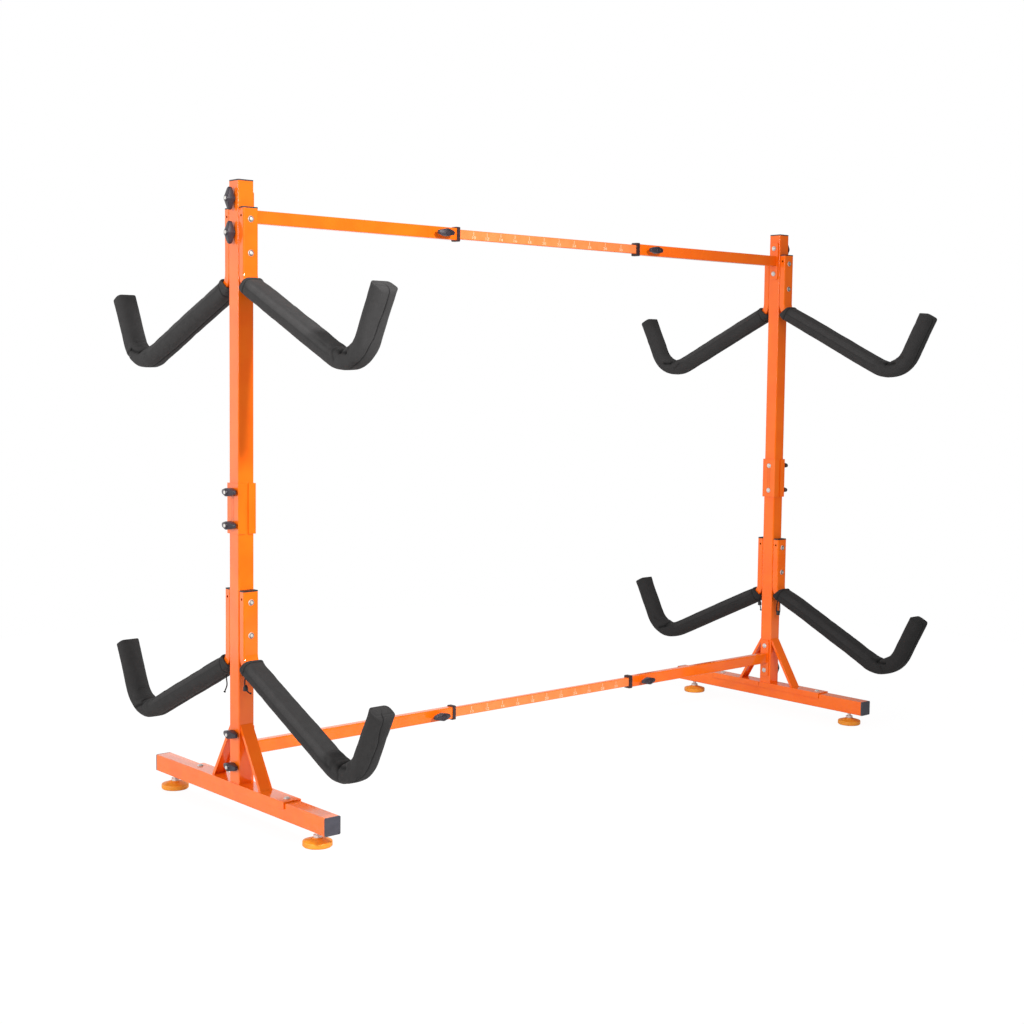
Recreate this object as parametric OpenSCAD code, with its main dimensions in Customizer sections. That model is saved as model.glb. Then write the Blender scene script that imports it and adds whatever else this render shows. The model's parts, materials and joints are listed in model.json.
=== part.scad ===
// Freestanding rack for four kayaks: two uprights with padded J-shaped arms on two tiers,
// joined by two telescoping crossbars. Millimetres. X runs along the crossbars, +Y to the back,
// +Z up; the origin is on the floor in the middle of the rack.

/* [Frame] */
// Distance between the centre lines of the two posts
post_span = 1880; // [1500:10:2100]
// Height of the top of the posts above the floor, caps included
rack_height = 1440; // [1250:5:1600]
// Height of the joint between lower and upper post
joint_height = 707; // [680:1:730]
// Outer width of the square post tube
post_width = 40; // [36:1:44]
// Wall of the post tube
post_wall = 2; // [1.5:0.5:3]
// Corner radius of the post and foot tubes
post_corner = 3; // [2:0.5:4]

/* [Feet] */
// Outer width of the square foot tube
foot_width = 40; // [36:1:44]
// Length of the foot tube without its end caps
foot_length = 716; // [600:2:800]
// Wall of the foot tube
foot_wall = 2; // [1.5:0.5:3]
// Height of the underside of the foot tube above the floor
foot_clearance = 35; // [32:1:45]
// Diameter of the levelling pads
pad_diameter = 65; // [50:1:75]
// Height of the upright rim of a levelling pad
pad_rim = 12; // [9:1:13]
// Distance between the front and back levelling pads
pad_spacing = 608; // [480:2:620]
// Diameter of the levelling stud
stud_diameter = 10; // [8:1:12]
// Length of the levelling stud above the pad's socket
stud_length = 42; // [38:1:50]

/* [Base bracket] */
// Length of the saddle that sits over the foot tube
saddle_length = 414; // [360:2:440]
// Depth of the saddle's side flanges below its top face
saddle_drop = 16; // [10:1:20]
// Thickness of the saddle sheet
saddle_sheet = 3; // [2:0.5:4]
// Distance from the saddle's end to its bolt
saddle_bolt_inset = 22; // [15:1:30]
// Height of the top of a brace above the floor
brace_top = 216; // [190:1:230]
// Reach of a brace along the foot from the post's face
brace_reach = 84; // [70:1:110]
// Width of a brace
brace_width = 32; // [24:1:36]
// Depth of a brace's channel section
brace_depth = 8; // [6:1:10]
// Sheet thickness of a brace
brace_sheet = 2; // [1.5:0.5:2.5]

/* [Post clamp] */
// Height of the clamp that joins lower and upper post
clamp_height = 115; // [110:1:140]
// Thickness of the clamp sheet
clamp_sheet = 3; // [2:0.5:4]
// Reach of a clamp flange over the post's side
clamp_flange = 16; // [10:1:17]

/* [Arms] */
// Distance from the top of the posts down to the top of the upper arms' legs
upper_arm_inset = 61; // [50:1:100]
// Height of the top of the lower arms' legs
lower_arm_top = 523; // [500:1:560]
// Width of the arm tube along the rack
arm_width = 38; // [34:1:40]
// Depth of the arm tube
arm_depth = 20; // [16:1:22]
// Wall of the arm tube
arm_wall = 1.5; // [1:0.25:2]
// Corner radius of the arm tube
arm_corner = 3; // [2.5:0.5:4]
// Length of the leg, from its top to the corner of its centre line
leg_length = 169; // [150:1:180]
// Angle of the long part of an arm below the horizontal
arm_slope = 25; // [20:1:30]
// Length of the long part, from corner to corner of its centre line
arm_length = 457; // [400:1:480]
// Length of the upturned part, from its corner to the tip of its cover
tip_length = 197; // [170:1:230]
// Angle of the upturned part above the horizontal
tip_rise = 63; // [50:1:70]
// Centre-line radius of the bend below the leg
root_bend = 36; // [34:1:42]
// Centre-line radius of the outer bend
tip_bend = 80; // [60:1:85]
// Depth of the through-bolts below the top of the leg
arm_bolt_inset = 27; // [25:1:35]
// Depth of the small side hole below the top of the leg
side_hole_inset = 19.5; // [17:0.5:20]
// Diameter of the small side hole
side_hole = 6; // [4:0.5:6]

/* [Covers] */
// Width of a padded cover along the rack
cover_width = 50; // [46:1:56]
// Thickness of a padded cover
cover_depth = 39; // [34:1:40]
// Corner radius of the padded section
cover_corner = 11; // [8:1:14]
// Distance from the top of the leg to the cover, along the arm
cover_from = 170; // [165:1:190]
// Thickness of padding over the end of the arm tube
cover_tip = 8; // [6:1:14]
// Swell of the section on its broad faces
cover_crown = 1.5; // [0.5:0.25:2.5]
// Depth of the fold on the inside of the outer bend
cover_fold = 6; // [2:0.5:7]

/* [Crossbars] */
// Distance from the top of the posts down to the centre of the upper crossbar
upper_bar_inset = 79.5; // [70:0.5:100]
// Height of the centre of the lower crossbar
lower_bar_height = 154.5; // [150:0.5:170]
// Height of the outer tube
outer_bar = 30; // [28:1:32]
// Depth of the outer tube, front to back
outer_bar_depth = 20; // [20:0.5:24]
// Wall of the outer tube
outer_bar_wall = 2; // [1.5:0.25:2]
// Height of the sliding scale bar
scale_bar = 24; // [20:1:24]
// Depth of the sliding scale bar, front to back
scale_bar_depth = 14; // [12:1:14]
// Wall of the scale bar
scale_bar_wall = 1.5; // [1:0.25:2]
// Length of a scale bar
scale_bar_length = 1100; // [900:10:1300]
// Visible length of a scale bar between the two collars
scale_window = 632; // [500:2:700]
// Width of an end plate, front to back
plate_width = 30; // [26:1:34]
// Height of an end plate
plate_height = 110; // [105:1:120]
// Thickness of an end plate
plate_sheet = 4; // [3:0.5:5]
// Corner radius of an end plate
plate_corner = 6; // [4:1:8]
// Length of a collar
collar_length = 10; // [6:1:12]
// Amount by which a collar stands proud of the outer tube above and below
collar_lip = 3; // [2:0.5:4]
// Amount by which a collar stands proud of the outer tube at the front and back
collar_side_lip = 1.5; // [1:0.5:3]
// Distance from a collar's face to its lock knob
lock_inset = 58; // [50:1:80]
// Height of the nut welded on the outer tube for a lock knob's screw
weld_nut_height = 8; // [4:0.5:10]
// Width of the welded nut over its flats
weld_nut_flats = 14; // [13:1:17]

/* [Fasteners and knobs] */
// Diameter of the bolts
bolt_diameter = 8; // [6:1:9]
// Spacing of the two bolts in every plate, clamp and leg
bolt_pitch = 75; // [70:1:80]
// Diameter of the domed bolt heads
head_diameter = 14.5; // [13:0.5:18]
// Height of the bolt heads
head_height = 4; // [3:0.5:5]
// Height of the nuts
nut_height = 6.5; // [5:0.5:8]
// Width of a nut over its flats
nut_flats = 13; // [12:1:16]
// Span of a wing knob, tip to tip
knob_span = 51; // [44:1:56]
// Width of a wing knob at its hub
knob_width = 19; // [17:1:22]
// Height of a wing knob with its boss
knob_height = 21; // [18:1:26]
// Height of a knob's hub below its wings
knob_hub = 3; // [2:1:5]
// Thickness of a wing at its tip
knob_wing = 7; // [5:1:9]
// Height of the underside of a wing at its tip
knob_lift = 6.5; // [5:0.5:8]
// Length of bolt that stands out of a post knob
bolt_tip = 1; // [0.5:0.5:6]

/* [Clearances] */
// Gap between parts that are clamped or plugged together
fit = 0.2; // [0.1:0.05:0.3]
// Extra diameter of a bolt hole
bolt_play = 0.6; // [0.4:0.1:1]
// Radial play of a part that turns or slides
running = 0.08; // [0.05:0.01:0.1]

/* [Hidden] */

// Colours as they look on the rack
orange_paint = "#f26a1b";
pad_plastic = "#f5a532";
black_plastic = "#2a2a2c";
grey_plastic = "#4c4a52";
black_fabric = "#3a3a3a";
zinc = "#c9c9cc";

FINE = 64; // facets drawn on a full circle
EPS = 1; // overrun of a cut past the face it opens
UPRIGHT = 0; // a knob's wings along Z
LEVEL = 90; // a knob's wings along Y

// Heights and faces
foot_top = foot_clearance + foot_width;
saddle_top = foot_top + saddle_sheet;
saddle_width = foot_width + 2 * fit + 2 * saddle_sheet;
upper_arm_top = rack_height - upper_arm_inset;
upper_bar_height = rack_height - upper_bar_inset;
post_face = post_width / 2;
hole_r = (bolt_diameter + bolt_play) / 2;
post_x = post_span / 2;
cap_flange = 3;
cap_plug = 10;
slit_width = 1.5;
slit_floor = 4;
saddle_bolt_reach = 12;

// Arm path: legs, bends and straight runs in the arm's own plane
root_turn = 90 - arm_slope;
tip_turn = arm_slope + tip_rise;
root_tangent = root_bend * tan(root_turn / 2);
tip_tangent = tip_bend * tan(tip_turn / 2);
leg_run = leg_length - root_tangent;
long_run = arm_length - root_tangent - tip_tangent;
tip_run = tip_length - tip_tangent;
arm_y = post_face + arm_depth / 2;
arm_runs = [leg_run, long_run, tip_run - cover_tip];
arm_bends = [[root_bend, root_turn], [tip_bend, tip_turn]];
root_arc = leg_run + root_bend * root_turn * PI / 180;
tip_start = root_arc + long_run;
tip_arc = tip_start + tip_bend * tip_turn * PI / 180;
arm_total = tip_arc + tip_run;

// Knob faces, outwards from the post
plate_x = post_x - post_face - plate_sheet;
clamp_half = post_face + fit + clamp_sheet;
knob_hub_r = 0.43 * knob_width;
knob_boss_r = 0.39 * knob_width;
boss_lip = 1.5;
lock_button = 1;
side_inset = 0.15;
collar_x = scale_window / 2;
lock_x = collar_x + lock_inset;
tube_end_x = collar_x + 2;
upper_bolts = [upper_bar_height + bolt_pitch / 2, upper_bar_height - bolt_pitch / 2];
clamp_bolts = [joint_height + bolt_pitch / 2, joint_height - bolt_pitch / 2];
lower_bolts = [lower_bar_height + bolt_pitch / 2, lower_bar_height - bolt_pitch / 2];
arm_bolts = [
    upper_arm_top - arm_bolt_inset, upper_arm_top - arm_bolt_inset - bolt_pitch,
    lower_arm_top - arm_bolt_inset, lower_arm_top - arm_bolt_inset - bolt_pitch
];

// Levelling pad
pad_boss = 19;
pad_boss_r = 11;
pad_shoulder = 17;
pad_shoulder_r = 14;
pad_edge = 2;
socket_floor = 4;
socket_head = 3;
socket_head_r = 7;
jam_nut = 5.5;
jam_nut_flats = 17;

// Drawstrings under the lower covers: routes from the cover down, from each post's centre line
string_diameter = 3;
STRING_SIDES = 8;
left_front_route = [
    [-17, -44, 330], [-19, -44, 322], [-20, -45, 314], [-19, -45, 306], [-16, -45, 299],
    [-11, -45, 294], [-5, -45, 290]
];
left_back_route = [
    [-5, 58, 324], [-5, 58, 316], [-5, 58, 308], [-5, 57, 301], [-5, 54, 296], [-5, 58, 290],
    [-5, 62, 284], [-5, 66, 276]
];
right_front_route = [
    [-10, -36, 334], [-10, -34, 326], [-10, -32, 318], [-10, -32, 310], [-10, -33, 302],
    [-10, -36, 295], [-10, -41, 295], [-10, -43, 302], [-10, -44, 310], [-10, -44, 318],
    [-10, -44, 326], [-10, -43, 332]
];
right_back_route = [
    [-12, 36, 335], [-12, 35, 327], [-12, 33, 319], [-12, 31, 311], [-12, 29, 304], [-12, 28, 298]
];
lock_size = [14, 12, 13];
lock_corner = 3;
outer_bar_corner = 2.5;
scale_bar_corner = 2;
collar_corner = 3;
left_locks = [[-18, -45, 304]];
right_locks = [[-10, -38, 297], [-12, 33, 319]];

// Put the children, drawn about a post's own centre line, on the left or the right post.
// What is drawn faces the middle of the rack along +X and is mirrored for the right post.
module at_post(side) {
    if (side == "left") translate([-post_x, 0, 0]) children();
    else mirror([1, 0, 0]) translate([-post_x, 0, 0]) children();
}

module rounded_rect(w, d, r) {
    square([w - 2 * r, d], center = true);
    square([w, d - 2 * r], center = true);
    for (x = [-1, 1], y = [-1, 1])
        translate([x * (w / 2 - r), y * (d / 2 - r)]) circle(r = r, $fn = FINE);
}

// Upright tube from the origin
module tube(w, d, wall, r, length) {
    linear_extrude(length) difference() {
        rounded_rect(w, d, r);
        rounded_rect(w - 2 * wall, d - 2 * wall, max(r - wall, 0.5));
    }
}

// Bar lying along X, centred on it, from x = 0
module along_x() {
    rotate([90, 0, 90]) children();
}

module along_y() {
    rotate([-90, 0, 0]) children();
}

module hole_x(z, y = 0, r = hole_r, reach = 60) {
    translate([-reach, y, z]) along_x() cylinder(r = r, h = 2 * reach, $fn = FINE);
}

module hole_y(z, x = 0, r = hole_r, reach = 60) {
    translate([x, -reach, z]) along_y() cylinder(r = r, h = 2 * reach, $fn = FINE);
}

// One bend of a bar that heads up +Z at the origin and turns towards +Y; its section is children(),
// drawn with the bar's depth along X and its width along Y
module bend(radius, turn) {
    translate([0, radius, 0]) rotate([90, 0, -90])
        rotate_extrude(angle = turn, $fn = 2 * FINE) translate([radius, 0]) children();
}

// Bar of straight runs joined by bends, heading up +Z from the origin
module bent_bar(runs, bends, i = 0) {
    linear_extrude(runs[i]) rotate(90) children();
    if (i < len(bends)) translate([0, 0, runs[i]]) {
        radius = bends[i][0];
        turn = bends[i][1];
        bend(radius, turn) children();
        translate([0, radius * (1 - cos(turn)), radius * sin(turn)]) rotate([-turn, 0, 0])
            bent_bar(runs, bends, i + 1) children();
    }
}

// Place a part drawn down its own +Z, turning out to +Y, on the front or back of the post
module at_arm(top, front) {
    if (front) translate([0, -arm_y, top]) rotate([180, 0, 0]) children();
    else mirror([0, 1, 0]) translate([0, -arm_y, top]) rotate([180, 0, 0]) children();
}

// Section of the arm tube, its depth along X
module arm_section() {
    difference() {
        polygon(corner_points(arm_depth, arm_width, arm_corner));
        polygon(corner_points(arm_depth - 2 * arm_wall, arm_width - 2 * arm_wall, arm_corner - arm_wall));
    }
}

module arm() {
    difference() {
        translate([0, 0, cap_flange])
            bent_bar([arm_runs[0] - cap_flange, arm_runs[1], arm_runs[2]], arm_bends) arm_section();
        for (z = [arm_bolt_inset, arm_bolt_inset + bolt_pitch]) hole_y(z);
        hole_x(side_hole_inset, 0, side_hole / 2);
    }
}

module arms(top) {
    color(orange_paint) {
        at_arm(top, true) arm();
        at_arm(top, false) arm();
    }
}

// Point of the arm's centre line at distance s from the leg's top: [out, along the leg, turn]
function arm_point(s) =
    s <= leg_run ? [0, s, 0] :
    s <= root_arc ? bend_point([0, leg_run, 0], root_bend, s - leg_run) :
    s <= tip_start ? straight_point(arm_point(root_arc), s - root_arc) :
    s <= tip_arc ? bend_point(arm_point(tip_start), tip_bend, s - tip_start) :
    straight_point(arm_point(tip_arc), s - tip_arc);

function straight_point(p, d) = [p[0] + d * sin(p[2]), p[1] + d * cos(p[2]), p[2]];

function bend_point(p, radius, d) = let (turn = p[2] + d / radius * 180 / PI) [
    p[0] + radius * (cos(p[2]) - cos(turn)),
    p[1] + radius * (sin(turn) - sin(p[2])),
    turn
];

// Points round a corner of a rectangle, and round all four
CORNER_STEPS = 3;
function corner_arc(w, d, r, q) = [
    for (i = [0:CORNER_STEPS]) let (
        a = 90 * q + 90 * i / CORNER_STEPS,
        sx = (q == 0 || q == 3) ? 1 : -1,
        sy = q < 2 ? 1 : -1
    ) [sx * (w / 2 - r) + r * cos(a), sy * (d / 2 - r) + r * sin(a)]
];

function corner_points(w, d, r) = [for (q = [0:3]) each corner_arc(w, d, r, q)];

// Padded section: rounded corners, and a crowned middle on every face
function cover_section() = [
    for (q = [0:3]) each [
        each corner_arc(cover_width, cover_depth, cover_corner, q),
        [
            [0, cover_depth / 2 + cover_crown], [-cover_width / 2 - cover_crown, 0],
            [0, -cover_depth / 2 - cover_crown], [cover_width / 2 + cover_crown, 0]
        ][q]
    ]
];

// Rings of the cover: [distance along the arm, size of the section, rise of the inner face]
hem_lip = 1.5;
hem_round = 5;
root_ease = 4;
fold_half = 6;
fold_swell = 3;
fold_at = tip_start + tip_bend * 30 * PI / 180;
cover_rings = [
    [cover_from, 0.86, 0], [cover_from + hem_lip, 0.95, 0], [cover_from + hem_round, 1, 0],
    [root_arc + root_ease, 1, 0],
    [root_arc + 0.33 * long_run, 0.985, 0], [root_arc + 0.7 * long_run, 1, fold_swell / 6],
    [tip_start - fold_half, 1, fold_swell / 2], [tip_start + 0.15 * tip_bend, 1, fold_swell],
    [tip_start + 0.325 * tip_bend, 1.01, fold_swell],
    [fold_at - fold_half, 1.01, 0], [fold_at, 1, -cover_fold], [fold_at + fold_half, 1, 0],
    [tip_start + 0.825 * tip_bend, 1, fold_swell * 5 / 6], [tip_start + 1.05 * tip_bend, 1, fold_swell / 2],
    [tip_start + 1.2875 * tip_bend, 1, 0], [tip_arc, 1, 0],
    [tip_arc + 0.5 * tip_run, 0.99, 0], [arm_total - fold_half, 1, 0], [arm_total - hem_lip, 0.95, 0],
    [arm_total, 0.84, 0]
];

function cover_ring(ring) = let (p = arm_point(ring[0])) [
    for (q = cover_section()) let (t = q[1] * ring[1] + (q[1] > 0 ? ring[2] * q[1] / (cover_depth / 2) : 0))
        [q[0] * ring[1], p[0] + t * cos(p[2]), p[1] - t * sin(p[2])]
];

// Closed skin over rings of points that go round the way they are swept
module skin(rings) {
    n = len(rings[0]);
    last = len(rings) - 1;
    polyhedron(
        points = [for (ring = rings) each ring],
        faces = [
            [for (i = [0:n - 1]) i],
            for (r = [0:last - 1], i = [0:n - 1]) let (j = (i + 1) % n) each [
                [r * n + i, (r + 1) * n + i, (r + 1) * n + j],
                [r * n + i, (r + 1) * n + j, r * n + j]
            ],
            [for (i = [n - 1:-1:0]) last * n + i]
        ]
    );
}

// Channel for the arm tube: a rectangle at each of these distances along the arm
ROOT_STEPS = 5;
TIP_STEPS = 15;
channel_lead = 3;
channel_from = cover_from - channel_lead;
channel_stops = [
    for (i = [0:ROOT_STEPS]) channel_from + (root_arc - channel_from) * i / ROOT_STEPS,
    for (i = [0:TIP_STEPS]) tip_start + (tip_arc - tip_start) * i / TIP_STEPS,
    arm_total - cover_tip + fit
];

function channel_ring(s) = let (p = arm_point(s), w = arm_width / 2 + fit, d = arm_depth / 2 + fit) [
    for (q = [[w, d], [-w, d], [-w, -d], [w, -d]]) [q[0], p[0] + q[1] * cos(p[2]), p[1] - q[1] * sin(p[2])]
];

module cover(top, front) {
    color(black_fabric) at_arm(top, front) difference() {
        skin([for (ring = cover_rings) cover_ring(ring)]);
        skin([for (s = channel_stops) channel_ring(s)]);
    }
}

module foot_tube() {
    color(orange_paint) translate([0, -foot_length / 2, foot_clearance + foot_width / 2]) difference() {
        along_y() tube(foot_width, foot_width, foot_wall, post_corner, foot_length);
        for (y = [-1, 1]) translate([0, foot_length / 2 + y * pad_spacing / 2, -foot_width / 2 - EPS])
            cylinder(r = stud_diameter / 2 + running, h = foot_wall + 2 * EPS, $fn = FINE);
        for (y = [-1, 1]) translate([0, foot_length / 2 + y * (saddle_length / 2 - saddle_bolt_inset), 0])
            cylinder(r = hole_r, h = foot_width, $fn = FINE);
    }
}

// Plug with a flange as wide as the tube, drawn upwards: its flange is on top of z = 0
module tube_cap(w, d, wall, r) {
    linear_extrude(cap_flange) rounded_rect(w, d, r);
    translate([0, 0, -cap_plug]) linear_extrude(cap_plug)
        rounded_rect(w - 2 * wall - 2 * fit, d - 2 * wall - 2 * fit, max(r - wall, 0.5));
}

module foot_caps() {
    color(grey_plastic) for (y = [-1, 1]) translate([0, y * foot_length / 2, foot_clearance + foot_width / 2])
        rotate([-y * 90, 0, 0]) tube_cap(foot_width, foot_width, foot_wall, post_corner);
}

module top_caps() {
    color(black_plastic) {
        translate([0, 0, rack_height - cap_flange]) tube_cap(post_width, post_width, post_wall, post_corner);
        for (top = [upper_arm_top, lower_arm_top], y = [-1, 1]) translate([0, y * arm_y, top - cap_flange])
            tube_cap(arm_width, arm_depth, arm_wall, arm_corner);
    }
}

module saddle() {
    difference() {
        translate([-saddle_width / 2, -saddle_length / 2, saddle_top - saddle_drop])
            cube([saddle_width, saddle_length, saddle_drop]);
        translate([-foot_width / 2 - fit, -saddle_length / 2 - EPS, saddle_top - saddle_drop - EPS])
            cube([foot_width + 2 * fit, saddle_length + 2 * EPS, saddle_drop - saddle_sheet + EPS]);
        for (y = [-1, 1])
            translate([0, y * (saddle_length / 2 - saddle_bolt_inset), saddle_top - saddle_sheet - EPS])
                cylinder(r = hole_r, h = saddle_sheet + 2 * EPS, $fn = FINE);
        translate([0, post_face, saddle_top - saddle_drop + slit_floor])
            cube([saddle_width, slit_width, saddle_drop]);
    }
}

// Channel-shaped brace on the back of the post, its web outwards
module brace() {
    slope = atan((brace_top - saddle_top) / brace_reach);
    rise = brace_depth / cos(slope);
    sheet_rise = brace_sheet / cos(slope);
    foot_y = post_face + brace_reach;
    inset = brace_width / 2 - brace_sheet;
    difference() {
        translate([-brace_width / 2, 0, 0]) along_x() linear_extrude(brace_width)
            polygon([
                [post_face, brace_top], [post_face, brace_top - rise],
                [foot_y - rise / tan(slope), saddle_top], [foot_y, saddle_top]
            ]);
        translate([-inset, 0, 0]) along_x() linear_extrude(2 * inset)
            polygon([
                [post_face - EPS, brace_top - sheet_rise + EPS * tan(slope)],
                [post_face - EPS, saddle_top - EPS],
                [foot_y - sheet_rise / tan(slope) + EPS / tan(slope), saddle_top - EPS]
            ]);
    }
}

module base_bracket() {
    color(orange_paint) {
        saddle();
        brace();
        mirror([0, 1, 0]) brace();
    }
}

module lower_post() {
    length = joint_height - fit / 2 - saddle_top;
    color(orange_paint) translate([0, 0, saddle_top]) difference() {
        tube(post_width, post_width, post_wall, post_corner, length);
        for (z = concat(lower_bolts, [clamp_bolts[1]])) hole_x(z - saddle_top);
        for (z = [arm_bolts[2], arm_bolts[3]]) hole_y(z - saddle_top);
    }
}

module upper_post() {
    base = joint_height + fit / 2;
    color(orange_paint) translate([0, 0, base]) difference() {
        tube(post_width, post_width, post_wall, post_corner, rack_height - cap_flange - base);
        for (z = concat(upper_bolts, [clamp_bolts[0]])) hole_x(z - base);
        for (z = [arm_bolts[0], arm_bolts[1]]) hole_y(z - base);
    }
}

// Half of the post clamp, on the inner side of the post
module clamp_shell() {
    base = joint_height - clamp_height / 2;
    difference() {
        translate([post_face - clamp_flange, -clamp_half, base])
            cube([clamp_flange + fit + clamp_sheet, 2 * clamp_half, clamp_height]);
        translate([-clamp_half, -post_face - fit, base - EPS])
            cube([clamp_half + post_face + fit, 2 * (post_face + fit), clamp_height + 2 * EPS]);
        for (z = clamp_bolts) hole_x(z);
    }
}

module post_clamp() {
    color(orange_paint) {
        clamp_shell();
        mirror([1, 0, 0]) clamp_shell();
    }
}

// Domed head on z = 0, with its shank below it
module dome_head() {
    rotate_extrude($fn = FINE) polygon([
        [0, 0], [head_diameter / 2, 0], [head_diameter / 2, 0.2 * head_height],
        [0.43 * head_diameter, 0.55 * head_height], [0.29 * head_diameter, 0.87 * head_height],
        [0.14 * head_diameter, head_height], [0, head_height]
    ]);
}

module bolt(length) {
    dome_head();
    translate([0, 0, -length]) cylinder(r = bolt_diameter / 2, h = length, $fn = FINE);
}

module button_bolt(length) {
    difference() {
        dome_head();
        translate([0, 0, 0.4 * head_height]) cylinder(r = 0.2 * head_diameter, h = head_height, $fn = 6);
    }
    translate([0, 0, -length]) cylinder(r = bolt_diameter / 2, h = length, $fn = FINE);
}

module nut(flats, height, bore) {
    difference() {
        cylinder(r = flats / sqrt(3), h = height, $fn = 6);
        translate([0, 0, -EPS]) cylinder(r = bore, h = height + 2 * EPS, $fn = FINE);
    }
}

// Bolt through the post with its head inside and room for a knob outside
module knob_bolt(z, head_face, knob_face) {
    length = head_face + knob_face + knob_height + bolt_tip;
    translate([head_face, 0, z]) along_x() bolt(length);
}

module arm_bolt(z) {
    face = post_face + arm_depth;
    translate([0, -face, z]) rotate([90, 0, 0]) button_bolt(2 * face + nut_height + 2);
    translate([0, face, z]) along_y() nut(nut_flats, nut_height, bolt_diameter / 2 + running);
}

module foot_stud(y) {
    translate([0, y, socket_floor + fit]) {
        cylinder(r = socket_head_r, h = socket_head, $fn = FINE);
        cylinder(r = stud_diameter / 2, h = stud_length + socket_head, $fn = FINE);
    }
    translate([0, y, pad_boss + fit]) nut(jam_nut_flats, jam_nut, stud_diameter / 2 + running);
}

module bolts() {
    plate_face = post_face + plate_sheet;
    color(zinc) {
        for (z = concat(upper_bolts, lower_bolts)) knob_bolt(z, plate_face, post_face);
        for (z = clamp_bolts) knob_bolt(z, clamp_half, clamp_half);
        for (z = arm_bolts) arm_bolt(z);
        for (y = [-1, 1]) translate([0, y * (saddle_length / 2 - saddle_bolt_inset), saddle_top])
            bolt(foot_wall + saddle_sheet + saddle_bolt_reach);
        for (y = [-1, 1]) foot_stud(y * pad_spacing / 2);
    }
}

module foot_pad(end) {
    color(pad_plastic) translate([0, end * pad_spacing / 2, 0]) rotate_extrude($fn = 2 * FINE)
        difference() {
            polygon([
                [0, 0], [pad_diameter / 2 - pad_edge, 0], [pad_diameter / 2, pad_edge],
                [pad_diameter / 2, pad_rim - pad_edge],
                [pad_diameter / 2 - 0.3 * pad_edge, pad_rim - 0.3 * pad_edge],
                [pad_diameter / 2 - pad_edge, pad_rim], [pad_shoulder_r, pad_shoulder],
                [pad_boss_r, pad_shoulder], [pad_boss_r, pad_boss], [0, pad_boss]
            ]);
            translate([0, socket_floor]) square([socket_head_r + running, socket_head + 2 * fit]);
            translate([0, socket_floor + socket_head]) square([stud_diameter / 2 + running, pad_boss]);
        }
}

// Rhombus outline with round lobes, along X: a middle circle and two end circles, with sides that
// lie a hair inside the tangents so that they cross each circle
module wing_outline() {
    big = knob_width / 2;
    small = knob_width * 0.29;
    reach = knob_span / 2 - small;
    a = acos((big - small) / reach);
    near = big - side_inset;
    far = small - side_inset;
    circle(r = big, $fn = FINE);
    for (x = [-1, 1]) translate([x * reach, 0]) circle(r = small, $fn = FINE);
    for (x = [-1, 1]) polygon([
        [x * near * cos(a), -near * sin(a)], [x * (reach + far * cos(a)), -far * sin(a)],
        [x * (reach + far * cos(a)), far * sin(a)], [x * near * cos(a), near * sin(a)]
    ]);
}

// Knob body standing on z = 0 with its wings along X: they rise and thin out towards their tips
module knob_body() {
    reach = knob_span / 2 + EPS;
    top = knob_height - boss_lip;
    cylinder(r = knob_hub_r, h = knob_height / 2, $fn = FINE);
    translate([0, 0, knob_hub + EPS]) cylinder(r = knob_boss_r, h = knob_height - knob_hub - EPS, $fn = FINE);
    intersection() {
        linear_extrude(knob_height) wing_outline();
        translate([0, knob_width, 0]) rotate([90, 0, 0]) linear_extrude(2 * knob_width) polygon([
            [-reach, knob_lift], [-knob_boss_r, knob_hub], [knob_boss_r, knob_hub], [reach, knob_lift],
            [reach, knob_lift + knob_wing], [knob_boss_r / 2, top], [-knob_boss_r / 2, top],
            [-reach, knob_lift + knob_wing]
        ]);
    }
}

// Knob bored for its bolt
module wing_knob() {
    difference() {
        knob_body();
        translate([0, 0, -EPS])
            cylinder(r = bolt_diameter / 2 + running, h = knob_height + 2 * EPS, $fn = FINE);
    }
}

// Knob on the outer face of the post; turn sets its wings upright or level
module post_knob(z, face, turn) {
    color(grey_plastic) translate([-face - fit, 0, z]) rotate([0, -90, 0]) rotate([0, 0, turn]) wing_knob();
}

module upper_plate_knob(i) {
    post_knob(upper_bolts[i], post_face, UPRIGHT);
}

module lower_plate_knob(i, turn) {
    post_knob(lower_bolts[i], post_face, turn);
}

module clamp_knob(i) {
    post_knob(clamp_bolts[i], clamp_half, LEVEL);
}

// Knob on the welded nut of an outer bar, in one piece with the screw that bears on the scale bar
module lock_knob(z) {
    base = outer_bar_depth / 2 + weld_nut_height + fit;
    screw = base - scale_bar_depth / 2 - 2 * fit;
    color(grey_plastic) translate([post_x - lock_x, -base, z]) rotate([90, 0, 0]) {
        knob_body();
        translate([0, 0, -screw]) cylinder(r = bolt_diameter / 2, h = screw, $fn = FINE);
        translate([0, 0, knob_height]) cylinder(r = 0.22 * knob_width, h = lock_button, $fn = FINE);
    }
}

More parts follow.
